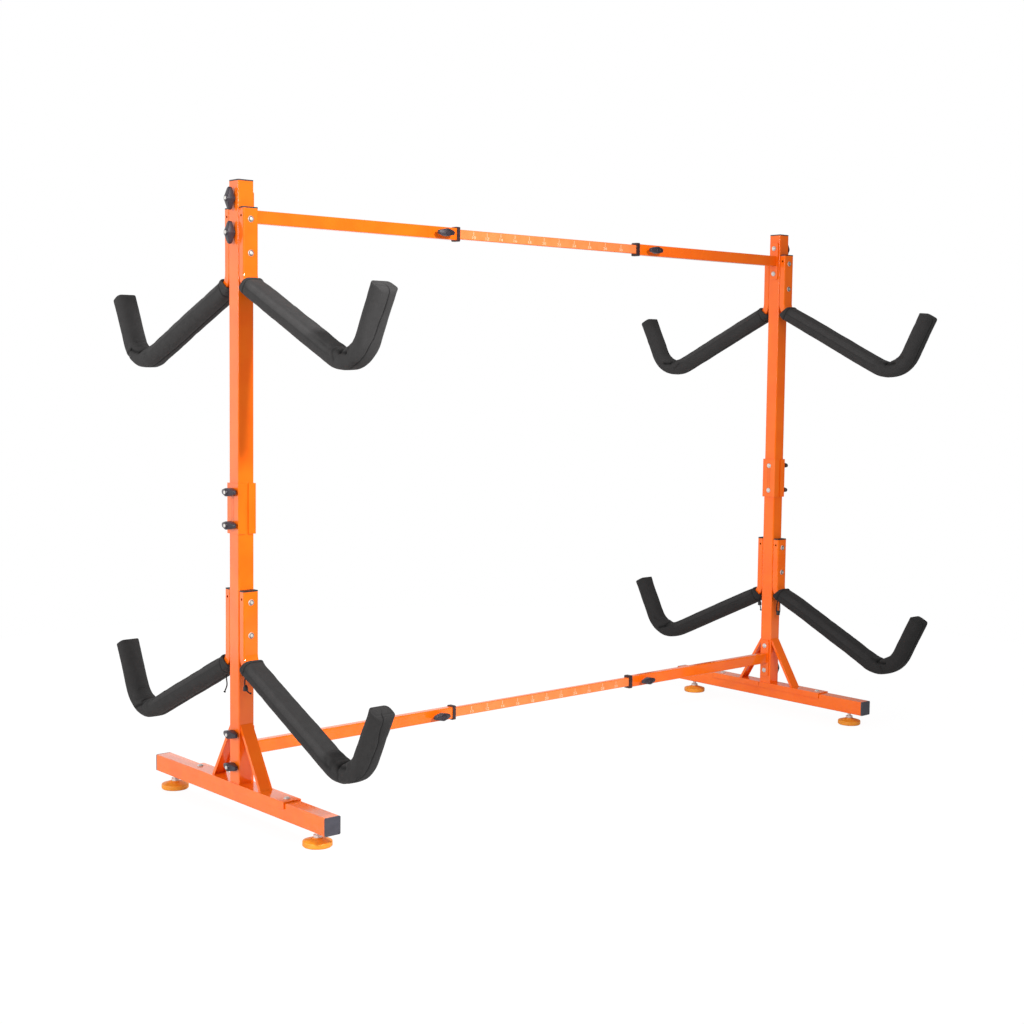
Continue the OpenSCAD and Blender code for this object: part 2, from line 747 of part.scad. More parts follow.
module outer_bar(z) {
    nut_base = outer_bar_depth / 2 - outer_bar_wall / 2;
    nut_reach = outer_bar_depth / 2 + weld_nut_height;
    inside = outer_bar_depth / 2 - outer_bar_wall - EPS;
    difference() {
        union() {
            translate([post_face, 0, z]) along_x() linear_extrude(plate_sheet)
                rounded_rect(plate_width, plate_height, plate_corner);
            translate([post_face + plate_sheet, 0, z]) along_x()
                tube(outer_bar_depth, outer_bar, outer_bar_wall, outer_bar_corner, plate_x - tube_end_x);
            translate([post_x - lock_x, -nut_base, z]) rotate([90, 0, 0])
                cylinder(r = weld_nut_flats / sqrt(3), h = nut_reach - nut_base, $fn = 6);
        }
        for (dz = [-1, 1]) translate([post_face - EPS, 0, z + dz * bolt_pitch / 2]) along_x()
            cylinder(r = hole_r, h = plate_sheet + 2 * EPS, $fn = FINE);
        translate([post_x - lock_x, -inside, z]) rotate([90, 0, 0])
            cylinder(r = bolt_diameter / 2 + running, h = nut_reach - inside + EPS, $fn = FINE);
    }
}

module outer_bars() {
    color(orange_paint) for (z = [upper_bar_height, lower_bar_height]) outer_bar(z);
}

// Ring over the end of an outer tube, with a sleeve that guides the scale bar
module collar(z) {
    lip = [outer_bar_depth + 2 * collar_side_lip, outer_bar + 2 * collar_lip];
    tube_size = [outer_bar_depth, outer_bar];
    sleeve = tube_size - 2 * (outer_bar_wall + fit) * [1, 1];
    window = [scale_bar_depth, scale_bar] + 2 * fit * [1, 1];
    sleeve_length = 30;
    translate([post_x - tube_end_x, 0, z]) along_x() difference() {
        union() {
            translate([0, 0, tube_end_x - collar_x - collar_length]) linear_extrude(collar_length)
                rounded_rect(lip[0], lip[1], collar_corner);
            translate([0, 0, -sleeve_length]) linear_extrude(sleeve_length) square(sleeve, center = true);
        }
        translate([0, 0, -sleeve_length - EPS]) linear_extrude(sleeve_length + collar_length)
            square(window, center = true);
        translate([0, 0, -2 * collar_length]) linear_extrude(2 * collar_length) difference() {
            square(tube_size + 2 * fit * [1, 1], center = true);
            square(sleeve, center = true);
        }
    }
}

module collars() {
    color(black_plastic) for (z = [upper_bar_height, lower_bar_height]) collar(z);
}

module scale_bar(z) {
    color(orange_paint) translate([-scale_bar_length / 2, 0, z]) along_x()
        tube(scale_bar_depth, scale_bar, scale_bar_wall, scale_bar_corner, scale_bar_length);
}

// Tube of the drawstring swept along its route, with square ends
function unit(v) = v / norm(v);
function route_direction(route, i) =
    i == 0 ? unit(route[1] - route[0]) :
    i == len(route) - 1 ? unit(route[i] - route[i - 1]) :
    unit(unit(route[i + 1] - route[i]) + unit(route[i] - route[i - 1]));

function string_ring(route, i) = let (
    r = string_diameter / 2,
    d = route_direction(route, i),
    u = unit(cross(d, [1, 0, 0])),
    v = cross(d, u)
) [for (k = [0:STRING_SIDES - 1]) let (a = 360 * k / STRING_SIDES) route[i] + r * (cos(a) * u + sin(a) * v)];

module drawstring(side, route) {
    color(black_plastic) translate([side * post_x, 0, 0])
        skin([for (i = [0:len(route) - 1]) string_ring(route, i)]);
}

module cord_locks(side, places) {
    color(black_plastic) for (place = places) translate([side * post_x, 0, -lock_size[2] / 2] + place)
        linear_extrude(lock_size[2]) rounded_rect(lock_size[0], lock_size[1], lock_corner);
}

at_post("left") foot_tube();  // left_foot_tube
at_post("left") foot_caps();  // left_foot_caps
at_post("left") base_bracket();  // left_base_bracket
at_post("left") lower_post();  // left_lower_post
at_post("left") upper_post();  // left_upper_post
at_post("left") post_clamp();  // left_post_clamp
at_post("left") arms(upper_arm_top);  // left_upper_arms
at_post("left") arms(lower_arm_top);  // left_lower_arms
at_post("left") cover(upper_arm_top, true);  // left_upper_front_cover
at_post("left") cover(upper_arm_top, false);  // left_upper_back_cover
at_post("left") cover(lower_arm_top, true);  // left_lower_front_cover
at_post("left") cover(lower_arm_top, false);  // left_lower_back_cover
at_post("left") top_caps();  // left_top_caps
at_post("left") bolts();  // left_bolts
at_post("left") outer_bars();  // left_outer_bars
at_post("left") collars();  // left_collars
at_post("left") foot_pad(-1);  // left_front_foot_pad
at_post("left") foot_pad(1);  // left_back_foot_pad
at_post("left") upper_plate_knob(0);  // left_upper_plate_top_knob
at_post("left") upper_plate_knob(1);  // left_upper_plate_bottom_knob
at_post("left") clamp_knob(0);  // left_clamp_top_knob
at_post("left") clamp_knob(1);  // left_clamp_bottom_knob
at_post("left") lower_plate_knob(0, LEVEL);  // left_lower_plate_top_knob
at_post("left") lower_plate_knob(1, LEVEL);  // left_lower_plate_bottom_knob
at_post("left") lock_knob(upper_bar_height);  // left_upper_lock_knob
at_post("left") lock_knob(lower_bar_height);  // left_lower_lock_knob
drawstring(-1, left_front_route);  // left_lower_front_drawstring
drawstring(-1, left_back_route);  // left_lower_back_drawstring
cord_locks(-1, left_locks);  // left_cord_locks
at_post("right") foot_tube();  // right_foot_tube
at_post("right") foot_caps();  // right_foot_caps
at_post("right") base_bracket();  // right_base_bracket
at_post("right") lower_post();  // right_lower_post
at_post("right") upper_post();  // right_upper_post
at_post("right") post_clamp();  // right_post_clamp
at_post("right") arms(upper_arm_top);  // right_upper_arms
at_post("right") arms(lower_arm_top);  // right_lower_arms
at_post("right") cover(upper_arm_top, true);  // right_upper_front_cover
at_post("right") cover(upper_arm_top, false);  // right_upper_back_cover
at_post("right") cover(lower_arm_top, true);  // right_lower_front_cover
at_post("right") cover(lower_arm_top, false);  // right_lower_back_cover
at_post("right") top_caps();  // right_top_caps
at_post("right") bolts();  // right_bolts
at_post("right") outer_bars();  // right_outer_bars
at_post("right") collars();  // right_collars
at_post("right") foot_pad(-1);  // right_front_foot_pad
at_post("right") foot_pad(1);  // right_back_foot_pad
at_post("right") upper_plate_knob(0);  // right_upper_plate_top_knob
at_post("right") upper_plate_knob(1);  // right_upper_plate_bottom_knob
at_post("right") clamp_knob(0);  // right_clamp_top_knob
at_post("right") clamp_knob(1);  // right_clamp_bottom_knob
at_post("right") lower_plate_knob(0, UPRIGHT);  // right_lower_plate_top_knob
at_post("right") lower_plate_knob(1, UPRIGHT);  // right_lower_plate_bottom_knob
at_post("right") lock_knob(upper_bar_height);  // right_upper_lock_knob
at_post("right") lock_knob(lower_bar_height);  // right_lower_lock_knob
drawstring(1, right_front_route);  // right_lower_front_drawstring
drawstring(1, right_back_route);  // right_lower_back_drawstring
cord_locks(1, right_locks);  // right_cord_locks
scale_bar(upper_bar_height);  // upper_scale_bar
scale_bar(lower_bar_height);  // lower_scale_bar
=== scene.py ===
# Looks of the freestanding kayak rack: painted square tube, padded fabric covers on the arms,
# moulded knobs and caps, zinc fasteners. Lengths in the model are metres; mm() turns millimetres to metres.
import json
import math
import bmesh
import bpy
from mathutils import Matrix, Vector, noise


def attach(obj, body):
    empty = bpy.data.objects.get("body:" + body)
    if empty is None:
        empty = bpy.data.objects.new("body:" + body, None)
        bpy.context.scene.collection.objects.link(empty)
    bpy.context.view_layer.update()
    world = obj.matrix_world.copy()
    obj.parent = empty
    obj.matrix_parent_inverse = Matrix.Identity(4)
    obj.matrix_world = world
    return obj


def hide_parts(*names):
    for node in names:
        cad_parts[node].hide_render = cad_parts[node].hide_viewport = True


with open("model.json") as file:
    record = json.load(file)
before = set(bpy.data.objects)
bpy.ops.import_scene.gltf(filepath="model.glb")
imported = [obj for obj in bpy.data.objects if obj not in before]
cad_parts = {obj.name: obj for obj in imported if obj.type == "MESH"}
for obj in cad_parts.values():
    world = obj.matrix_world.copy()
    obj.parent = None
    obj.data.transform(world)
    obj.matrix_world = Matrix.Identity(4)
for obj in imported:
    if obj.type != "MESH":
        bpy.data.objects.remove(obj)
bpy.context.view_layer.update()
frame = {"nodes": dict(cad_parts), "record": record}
NODES = frame["nodes"]
SIDES = {"left": -1, "right": 1}
POST_X = 0.94                           # centre line of a post
TOPS = {"upper": 1.379, "lower": 0.523}    # tops of the arms' legs
BARS = {"upper": 1.3605, "lower": 0.1545}  # centre lines of the crossbars
CLAMP = 0.707                           # middle of the post clamps


def mm(value):
    return value / 1000


def into_scene(made):
    """Put a new object in the scene."""
    bpy.context.scene.collection.objects.link(made)
    return made


# ---------------------------------------------------------------- camera

PHOTO_SIZE = 1024                  # pixels along each side of the photograph
FOCAL = 1583.5                     # the camera's focal length in those pixels
AXIS_X, AXIS_Y = 517.35, 487.96    # pixel that the camera's axis meets, from the left and from the top
SENSOR = 36                        # sensor width in millimetres
CAMERA_AT = (-2.8469, -3.0789, 1.0269)
YAW, PITCH, ROLL = 41.68, 4.28, 0.68   # degrees to the right of +Y, down, and tilt to the right


def photo_camera():
    """Camera of the photograph, with the place, turn and lens that were solved from it."""
    yaw, pitch, roll = (math.radians(a) for a in (YAW, PITCH, ROLL))
    data = bpy.data.cameras.new("photo_camera")
    data.sensor_width = SENSOR
    data.lens = FOCAL / PHOTO_SIZE * SENSOR
    data.shift_x = (PHOTO_SIZE / 2 - AXIS_X) / PHOTO_SIZE
    data.shift_y = (AXIS_Y - PHOTO_SIZE / 2) / PHOTO_SIZE
    data.clip_start, data.clip_end = 0.05, 60
    ahead = Vector((math.sin(yaw) * math.cos(pitch), math.cos(yaw) * math.cos(pitch), -math.sin(pitch)))
    level = Vector((math.cos(yaw), -math.sin(yaw), 0))
    up = level.cross(ahead)
    right = level * math.cos(roll) + up * math.sin(roll)
    top = -level * math.sin(roll) + up * math.cos(roll)
    camera = into_scene(bpy.data.objects.new("photo_camera", data))
    turned = Matrix((right, top, -ahead)).transposed().to_4x4()
    camera.matrix_world = Matrix.Translation(CAMERA_AT) @ turned
    bpy.context.scene.camera = camera


photo_camera()
bpy.context.scene.view_settings.view_transform = "Standard"


# ---------------------------------------------------------------- materials

def linear(hex_colour):
    """sRGB hex to the linear colour that Blender's sockets take."""
    parts = [int(hex_colour[i:i + 2], 16) / 255 for i in (1, 3, 5)]
    return (*[c / 12.92 if c <= 0.04045 else ((c + 0.055) / 1.055) ** 2.4 for c in parts], 1)


def add(tree, kind, links=(), **values):
    """New node with its settings. Its links are pairs of an input and the output that feeds it."""
    node = tree.nodes.new(kind)
    for key, value in values.items():
        if hasattr(node, key):
            setattr(node, key, value)
        else:
            node.inputs[key.replace("_", " ")].default_value = value
    for name, source in links:
        tree.links.new(node.inputs[name], source)
    return node


def material(name, **shader):
    """New material with a Principled shader whose sockets are set by name."""
    made = bpy.data.materials.new(name)
    made.use_nodes = True
    surface = made.node_tree.nodes["Principled BSDF"]
    for key, value in shader.items():
        surface.inputs[key.replace("_", " ")].default_value = value
    return made, made.node_tree, surface


def ramp(tree, source, low, high, start, end):
    """Colour between two sRGB colours as source goes from start to end."""
    node = add(tree, "ShaderNodeValToRGB", [("Fac", source)])
    node.color_ramp.elements[0].position, node.color_ramp.elements[0].color = start, linear(low)
    node.color_ramp.elements[1].position, node.color_ramp.elements[1].color = end, linear(high)
    return node.outputs["Color"]


def fade(tree, source, start, end, low, high, **settings):
    """Value that goes from low to high as source goes from start to end."""
    return add(tree, "ShaderNodeMapRange", [("Value", source)], From_Min=start, From_Max=end, To_Min=low,
               To_Max=high, **settings).outputs["Result"]


def by_ray(tree, kind, others, those):
    """Mix of two shaders, the second of them for rays of the named kind."""
    path = add(tree, "ShaderNodeLightPath")
    return add(tree, "ShaderNodeMixShader",
               [(0, path.outputs[kind]), (1, others.outputs[0]), (2, those.outputs[0])])


def cloudy(tree, place, size, detail, **settings):
    """Noise in clouds of about a size in millimetres."""
    return add(tree, "ShaderNodeTexNoise", [("Vector", place)], Scale=1 / mm(size), Detail=detail,
               **settings).outputs["Fac"]


def bumped(tree, height, strength, depth, links=()):
    """Normal of a relief of a depth in millimetres."""
    return add(tree, "ShaderNodeBump", [("Height", height), *links], Strength=strength,
               Distance=mm(depth)).outputs["Normal"]


def bands(period):
    """Wave scale that gives bands of this many millimetres."""
    return 2 * math.pi / (20 * mm(period))


def mottled(tree, surface, low, high, start, end, size, detail=2.0):
    """Base colour that drifts between two sRGB colours, in clouds of a size in millimetres. Gives the place
    and the noise that it follows."""
    place = add(tree, "ShaderNodeTexCoord").outputs["Object"]
    cloud = cloudy(tree, place, size, detail)
    tree.links.new(surface.inputs["Base Color"], ramp(tree, cloud, low, high, start, end))
    return place, cloud


def powder_coat():
    """Gloss polyester powder coat on steel tube: clear reflections, faint orange peel, and slightly
    thinner, lighter paint in a cloudy pattern about 60 mm across."""
    made, tree, surface = material("powder_coat_orange", Roughness=0.5, Specular_IOR_Level=0.1,
                                   Coat_Weight=1.0, Coat_Roughness=0.11, Coat_IOR=1.5)
    place, _ = mottled(tree, surface, "#fb6805", "#fd7008", 0.35, 0.65, 62.5)
    # orange peel, a few hundredths of a millimetre deep
    peel = bumped(tree, cloudy(tree, place, 1.54, 1.0), 0.06, 0.2)
    tree.links.new(surface.inputs["Normal"], peel)
    tree.links.new(surface.inputs["Coat Normal"], peel)
    return made


def moulded(name, low, high, roughness, grain, depth):
    """Injection-moulded plastic: satin, from a spark-eroded grain of a size and depth in millimetres, and
    faintly cloudy where the melt flowed."""
    made, tree, surface = material(name, Roughness=roughness, IOR=1.5)
    place, _ = mottled(tree, surface, low, high, 0.3, 0.7, 11.1)
    speck = cloudy(tree, place, grain, 3.0)
    tree.links.new(surface.inputs["Normal"], bumped(tree, speck, 0.35, depth))
    return made


def zinc_plate():
    """Passivated zinc plate on steel bolts: pale, soft silvery film with a light variation in gloss."""
    made, tree, surface = material("zinc_plate", Metallic=0.4, Roughness=0.4)
    _, cloud = mottled(tree, surface, "#cfcbc6", "#e2deda", 0.3, 0.7, 3.85, 3.0)
    tree.links.new(surface.inputs["Roughness"], fade(tree, cloud, 0.0, 1.0, 0.34, 0.5))
    return made


def woven_cover(name, low, high, yarn):
    """Polyester oxford cloth over foam: matt charcoal, plain weave of 0.9 mm yarn pairs, soft sheen at the
    edges and a faint mottling where the cloth is pulled. The weave follows the cloth's own UV, in metres. A
    value on the mesh's vertices paints shade into the cloth's folds, seams and stitch line, and a painted
    highlight on the stretched facets of its sides."""
    made, tree, surface = material("woven_cover_" + name, Roughness=0.9, Specular_IOR_Level=0.22,
                                   Sheen_Weight=0.16, Sheen_Roughness=0.45, Sheen_Tint=linear("#8c8b8a"))
    coordinates = add(tree, "ShaderNodeTexCoord").outputs
    place = coordinates["Object"]
    dye = ramp(tree, cloudy(tree, place, 18.2, 4.0, Roughness=0.6), low, high, 0.3, 0.72)
    # warp and weft: two bands of 1.8 mm period, so a float of 0.9 mm
    threads = []
    for direction in ("X", "Y"):
        band = add(tree, "ShaderNodeTexWave", [("Vector", coordinates["UV"])], bands_direction=direction,
                   Scale=bands(1.8), Distortion=0.6, Detail=1.0, Detail_Scale=3.0)
        threads.append(band.outputs["Fac"])
    weave = add(tree, "ShaderNodeMath", [(0, threads[0]), (1, threads[1])], operation="MULTIPLY")
    shade = add(tree, "ShaderNodeMixRGB", [("Fac", weave.outputs["Value"]), ("Color1", dye)],
                Color2=linear(yarn))
    # painted light and shade from the mesh: lighter below 0.3 as a painted highlight, down to near black
    # above it as painted shade in folds and seams
    tuck = add(tree, "ShaderNodeAttribute", attribute_name="tuck").outputs["Fac"]
    painted_highlight = fade(tree, tuck, 0.0, 0.3, 1.3, 1.0)
    painted_fold_shade = fade(tree, tuck, 0.3, 0.9, 1.0, 0.12)
    painted_light_level = add(tree, "ShaderNodeMath", [(0, painted_highlight), (1, painted_fold_shade)], operation="MULTIPLY")
    painted_cloth = add(tree, "ShaderNodeVectorMath", [(0, shade.outputs["Color"]), ("Scale", painted_light_level.outputs["Value"])],
               operation="SCALE")
    tree.links.new(surface.inputs["Base Color"], painted_cloth.outputs["Vector"])
    fine = bumped(tree, weave.outputs["Value"], 0.5, 0.3)
    fuzz = bumped(tree, cloudy(tree, place, 0.714, 2.0), 0.25, 0.3, [("Normal", fine)])
    tree.links.new(surface.inputs["Normal"], fuzz)
    return made


def braided_cord():
    """Braided polyester drawstring: black, matt, with a fine diagonal braid."""
    made, tree, surface = material("braided_cord_black", Roughness=0.75, Specular_IOR_Level=0.3)
    place = add(tree, "ShaderNodeTexCoord").outputs["Object"]
    braid = add(tree, "ShaderNodeTexWave", [("Vector", place)], bands_direction="DIAGONAL",
                Scale=bands(1.257), Distortion=1.0)
    colour = ramp(tree, braid.outputs["Fac"], "#151516", "#2e2e30", 0.2, 0.8)
    tree.links.new(surface.inputs["Base Color"], colour)
    tree.links.new(surface.inputs["Normal"], bumped(tree, braid.outputs["Fac"], 0.6, 0.4))
    return made


def machined_flank():
    """Turned flank of a button head, darker than its zinc centre: grey-brown, half gloss, mottled."""
    made, tree, surface = material("machined_flank_grey", Metallic=0.3, Roughness=0.5)
    mottled(tree, surface, "#6b5f58", "#9a8c82", 0.35, 0.7, 2.0)
    return made


def printed_ink():
    """Screen-printed white ink, so thin that the orange tape shows through: flat, warm, fine pinholes."""
    made, tree, surface = material("printed_ink_white", Roughness=0.55)
    mottled(tree, surface, "#f3b48c", "#f9caac", 0.3, 0.6, 1.11)
    return made


def scale_tape():
    """Self-adhesive vinyl tape of a paler orange than the paint: satin, uneven where it was pressed on."""
    made, tree, surface = material("scale_tape_pale_orange", Roughness=0.5, Specular_IOR_Level=0.3)
    mottled(tree, surface, "#f67f40", "#f88648", 0.35, 0.65, 25.0)
    return made


PAINT = powder_coat()
TAPE = scale_tape()
KNOB = moulded("moulded_nylon_grey", "#2e272f", "#39323a", 0.42, 0.667, 0.3)
CAP = moulded("moulded_cap_grey", "#3b3a43", "#45444e", 0.42, 1.11, 0.2)
BLACK = moulded("moulded_plastic_black", "#1c1c1e", "#29292b", 0.5, 0.833, 0.2)
COLLAR = moulded("moulded_collar_warm_black", "#321c1f", "#3f282b", 0.5, 0.833, 0.2)
PAD = moulded("moulded_pad_orange", "#e78a1a", "#f09a2a", 0.45, 1.43, 0.2)
ZINC = zinc_plate()
# the covers' cloth in four copies, darker on the lower and the right covers: painted shade where less light
# reaches them
CLOTHS = {"left_upper": woven_cover("charcoal", "#333232", "#3a3939", "#434242"),
          "left_lower": woven_cover("charcoal_painted_shade", "#292828", "#302f2f", "#393838"),
          "right_upper": woven_cover("charcoal_painted_shade_deeper", "#2f2e2e", "#363535", "#3e3d3d"),
          "right_lower": woven_cover("charcoal_painted_shade_deepest", "#242323", "#2a2929", "#302f2f")}
CORD = braided_cord()
INK = printed_ink()
FLANK = machined_flank()

FINISH = {"orange_paint": PAINT, "grey_plastic": KNOB, "black_plastic": BLACK, "pad_plastic": PAD,
          "zinc": ZINC, "black_fabric": CLOTHS["left_upper"], "cord": CORD}


def dress(node, finish, edge=0.0):
    """Give a CAD node its material, and where edge is given a rounded edge of that many millimetres."""
    piece = NODES[node]
    piece.data.materials.clear()
    piece.data.materials.append(finish)
    if edge:
        weld = piece.modifiers.new("joined_faces", "WELD")
        weld.merge_threshold = mm(0.01)
        radius = piece.modifiers.new("edge_radius", "BEVEL")
        radius.width, radius.segments, radius.limit_method = mm(edge), 2, "ANGLE"
        radius.angle_limit = math.radians(40)
        radius.harden_normals = True


slot_of = {s["node"]: s["material_slot"] for s in frame["record"]["subparts"]}
for node, slot in slot_of.items():
    dress(node, FINISH[slot])
for side in SIDES:
    dress(side + "_foot_caps", CAP, 1.2)
    dress(side + "_collars", COLLAR)
    for part in ("post_clamp", "base_bracket"):
        dress(side + "_" + part, PAINT, 0.7)


# ---------------------------------------------------------------- mesh helpers

def rotate(bm, verts, degrees, axis):
    """Turn some of a mesh's vertices about an axis through the origin."""
    bmesh.ops.rotate(bm, verts=verts, cent=(0, 0, 0), matrix=Matrix.Rotation(math.radians(degrees), 3, axis))


def move(bm, verts, x, y, z):
    """Move vertices by distances in metres."""
    bmesh.ops.translate(bm, vec=(x, y, z), verts=verts)


def extrude_ring(bm, edges):
    """Extrude a ring of edges. Gives the new ring's vertices and edges."""
    made = bmesh.ops.extrude_edge_only(bm, edges=edges)["geom"]
    verts = [g for g in made if isinstance(g, bmesh.types.BMVert)]
    across = [g for g in made if isinstance(g, bmesh.types.BMEdge)]
    return verts, [e for e in across if e.verts[0] in verts and e.verts[1] in verts]


def new_piece(name, bm, finish, body, smooth=True):
    """Object from a bmesh in the shared frame, riding on a body."""
    mesh = bpy.data.meshes.new(name)
    bm.to_mesh(mesh)
    bm.free()
    mesh.materials.append(finish)
    if smooth:
        mesh.shade_smooth()
    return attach(into_scene(bpy.data.objects.new(name, mesh)), body)


def bevel(bm, geom, offset, segments, affect="EDGES"):
    """Round edges or corners by an offset in millimetres."""
    bmesh.ops.bevel(bm, geom=geom, offset=mm(offset), segments=segments, profile=0.5, affect=affect,
                    material=-1)


def cone(bm, size, segments):
    """Cut-off cone of (lower radius, upper radius, length) in millimetres. Gives its vertices."""
    low, high, length = (mm(value) for value in size)
    return bmesh.ops.create_cone(bm, cap_ends=True, segments=segments, radius1=low, radius2=high,
                                 depth=length)["verts"]


# ---------------------------------------------------------------- drawstrings

def smooth_route(points, steps=4):
    """Catmull-Rom curve through the route's points, in metres."""
    ends = [points[0] * 2 - points[1], *points, points[-1] * 2 - points[-2]]
    out = []
    for a, b, c, d in zip(ends, ends[1:], ends[2:], ends[3:]):
        for i in range(steps):
            t = i / steps
            square, cube = 2 * a - 5 * b + 4 * c - d, 3 * b - a - 3 * c + d
            out.append(0.5 * (2 * b + (c - a) * t + square * t * t + cube * t ** 3))
    return out + [points[-1]]


STRING = 3.0   # diameter of the drawstrings in millimetres
# where each drawstring runs: (x from the post's centre line, y, z) in millimetres, from the cover's hem
ROUTES = {
    "left_lower_front": [(-17, -44, 330), (-19, -44, 322), (-20, -45, 314), (-19, -45, 306), (-16, -45, 299),
                         (-11, -45, 294), (-5, -45, 290)],
    "left_lower_back": [(-5, 58, 324), (-5, 58, 316), (-5, 57.6, 308), (-5, 56.2, 301), (-5, 55.6, 295),
                        (-5, 57.6, 289), (-5, 61.6, 283), (-5, 66, 276)],
    "right_lower_front": [(-10, -36, 334), (-10, -33.6, 326), (-10, -31.8, 318), (-10, -31.2, 310),
                          (-10, -31.4, 302.5), (-10, -33.4, 297.4), (-10, -38, 295.2), (-10, -42.6, 297.4),
                          (-10, -44.6, 302.5), (-10, -44.8, 310), (-10, -44.4, 318), (-10, -44, 326),
                          (-10, -43, 332)],
    "right_lower_back": [(-12, 36, 335), (-12, 35, 327), (-12, 33, 319), (-12, 31, 311), (-12, 29, 304),
                         (-12, 28, 298)],
}
LOOPED = "right_lower_front"   # this one runs back into its hem, so it has no knot
# middle of the cord lock on each drawstring that has one
LOCKS = {"left_lower_front": (-18, -45, 304), "right_lower_front": (-10, -38, 297),
         "right_lower_back": (-12, 33, 319)}


def knot(name, at, body):
    """Overhand knot at a cord's end: two turns pulled into a lump."""
    bm = bmesh.new()
    for side in (1, -1):
        ball = bmesh.ops.create_uvsphere(bm, u_segments=14, v_segments=10, radius=mm(STRING * 0.78))["verts"]
        bmesh.ops.scale(bm, vec=(1.0, 0.8, 1.15), verts=ball)
        rotate(bm, ball, 55 * side, "X")
        move(bm, ball, at.x, at.y + mm(0.7) * side, at.z + mm(0.5))
    piece = new_piece(name, bm, CORD, body)
    return piece


BARREL_SIZE = (5.6, 5.2, 10.0)   # cord lock's barrel: its two radii and its length
BUTTON_SIZE = (3.8, 3.6, 5.5)    # its spring button, the same
BARREL_DOWN, BUTTON_UP = 1.5, 3.75   # how far below and above the lock's middle they are centred


def cord_lock(name, at, body):
    """Barrel toggle on the drawstring: rounded body, with its spring button standing out on top."""
    bm = bmesh.new()
    cone(bm, BARREL_SIZE, 28)
    ends = [e for e in bm.edges if abs(e.verts[0].co.z - e.verts[1].co.z) < 1e-6]
    bevel(bm, ends, 1.2, 3)
    move(bm, bm.verts, 0, 0, -mm(BARREL_DOWN))
    button = cone(bm, BUTTON_SIZE, 24)
    move(bm, button, 0, 0, mm(BUTTON_UP))
    top = mm(BUTTON_UP + BUTTON_SIZE[2] / 2 - 0.1)
    rim = [e for e in bm.edges if e.verts[0] in button and min(v.co.z for v in e.verts) > top]
    bevel(bm, rim, 0.8, 2)
    move(bm, bm.verts, *at)
    piece = new_piece(name, bm, BLACK, body)
    return piece


def drawstring(name, route):
    """Round cord of one open spline, its knot and its lock."""
    side = name.split("_")[0]
    body = side + "_frame"
    shift = Vector((SIDES[side] * POST_X, 0, 0))
    path = smooth_route([Vector(p) / 1000 + shift for p in route])
    curve = bpy.data.curves.new(name + "_cord", "CURVE")
    curve.dimensions = "3D"
    curve.bevel_depth = mm(STRING / 2)
    curve.bevel_resolution = 3
    curve.use_fill_caps = True
    spline = curve.splines.new("POLY")
    spline.points.add(len(path) - 1)
    for point, co in zip(spline.points, path):
        point.co = (*co, 1)
    curve.materials.append(CORD)
    cord = into_scene(bpy.data.objects.new(name + "_cord", curve))
    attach(cord, body)
    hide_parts(name + "_drawstring")
    if name in LOCKS:
        lock = cord_lock(name + "_lock_1", Vector(LOCKS[name]) / 1000 + shift, body)
        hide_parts(side + "_cord_locks")
    if name != LOOPED:
        knot(name + "_knot", path[-1], body)


for name, route in ROUTES.items():
    drawstring(name, route)


# ---------------------------------------------------------------- padded covers

LEG, LONG, TIP = 169.0, 457.0, 197.0   # millimetres, corner to corner of the arm's centre line
SLOPE, RISE = 25.0, 63.0               # degrees below and above the horizontal
ROOT_R, TIP_R = 36.0, 80.0             # centre-line radii of the two bends
ROOT_TURN, TIP_TURN = 90 - SLOPE, SLOPE + RISE
ROOT_TAN = ROOT_R * math.tan(math.radians(ROOT_TURN / 2))
TIP_TAN = TIP_R * math.tan(math.radians(TIP_TURN / 2))
ROOT_START = LEG - ROOT_TAN
ROOT_END = ROOT_START + ROOT_R * math.radians(ROOT_TURN)
BEND_START = ROOT_END + LONG - ROOT_TAN - TIP_TAN
BEND_END = BEND_START + TIP_R * math.radians(TIP_TURN)
END = BEND_END + TIP - TIP_TAN
COVER_START = 170.0                    # where a cover's hem lies along its arm
ARM_Y = 30.0                           # from the post's centre line to the arm's


def along(s):
    """Point of the arm's centre line at s millimetres from the leg's top, drawn for a front arm with its top
    at z = 0: (y, z, turn), and turn is 0 down the leg and grows outwards."""
    def bend(p, radius, d):
        y, z, turn = p
        t = turn + d / radius
        return y - radius * (math.cos(turn) - math.cos(t)), z - radius * (math.sin(t) - math.sin(turn)), t

    def run(p, d):
        y, z, turn = p
        return y - d * math.sin(turn), z - d * math.cos(turn), turn

    p = run((-ARM_Y, 0, 0), min(s, ROOT_START))
    if s > ROOT_START:
        p = bend(p, ROOT_R, min(s, ROOT_END) - ROOT_START)
    if s > ROOT_END:
        p = run(p, min(s, BEND_START) - ROOT_END)
    if s > BEND_START:
        p = bend(p, TIP_R, min(s, BEND_END) - BEND_START)
    if s > BEND_END:
        p = run(p, s - BEND_END)
    return p


def stops(start, end, step):
    """Even places from start up to, but not at, end, about a step apart."""
    n = max(1, round((end - start) / step))
    return [start + (end - start) * i / n for i in range(n)]


def section_matrix(s):
    """Frame of the arm's section at s, in metres: x across the arm, y towards its inner face, z ahead."""
    y, z, turn = along(s)
    inner = Vector((0, -math.cos(turn), math.sin(turn)))
    ahead = Vector((0, -math.sin(turn), -math.cos(turn)))
    turned = Matrix(((1, 0, 0), inner, ahead)).transposed().to_4x4()
    return Matrix.Translation((0, mm(y), mm(z))) @ turned


WIDE, DEEP, CORNER = 25.0, 19.5, 11.0          # half sizes of the padded section and its corner radius
FOLD = BEND_START + TIP_R * math.radians(30)   # where the cloth folds, inside the outer bend


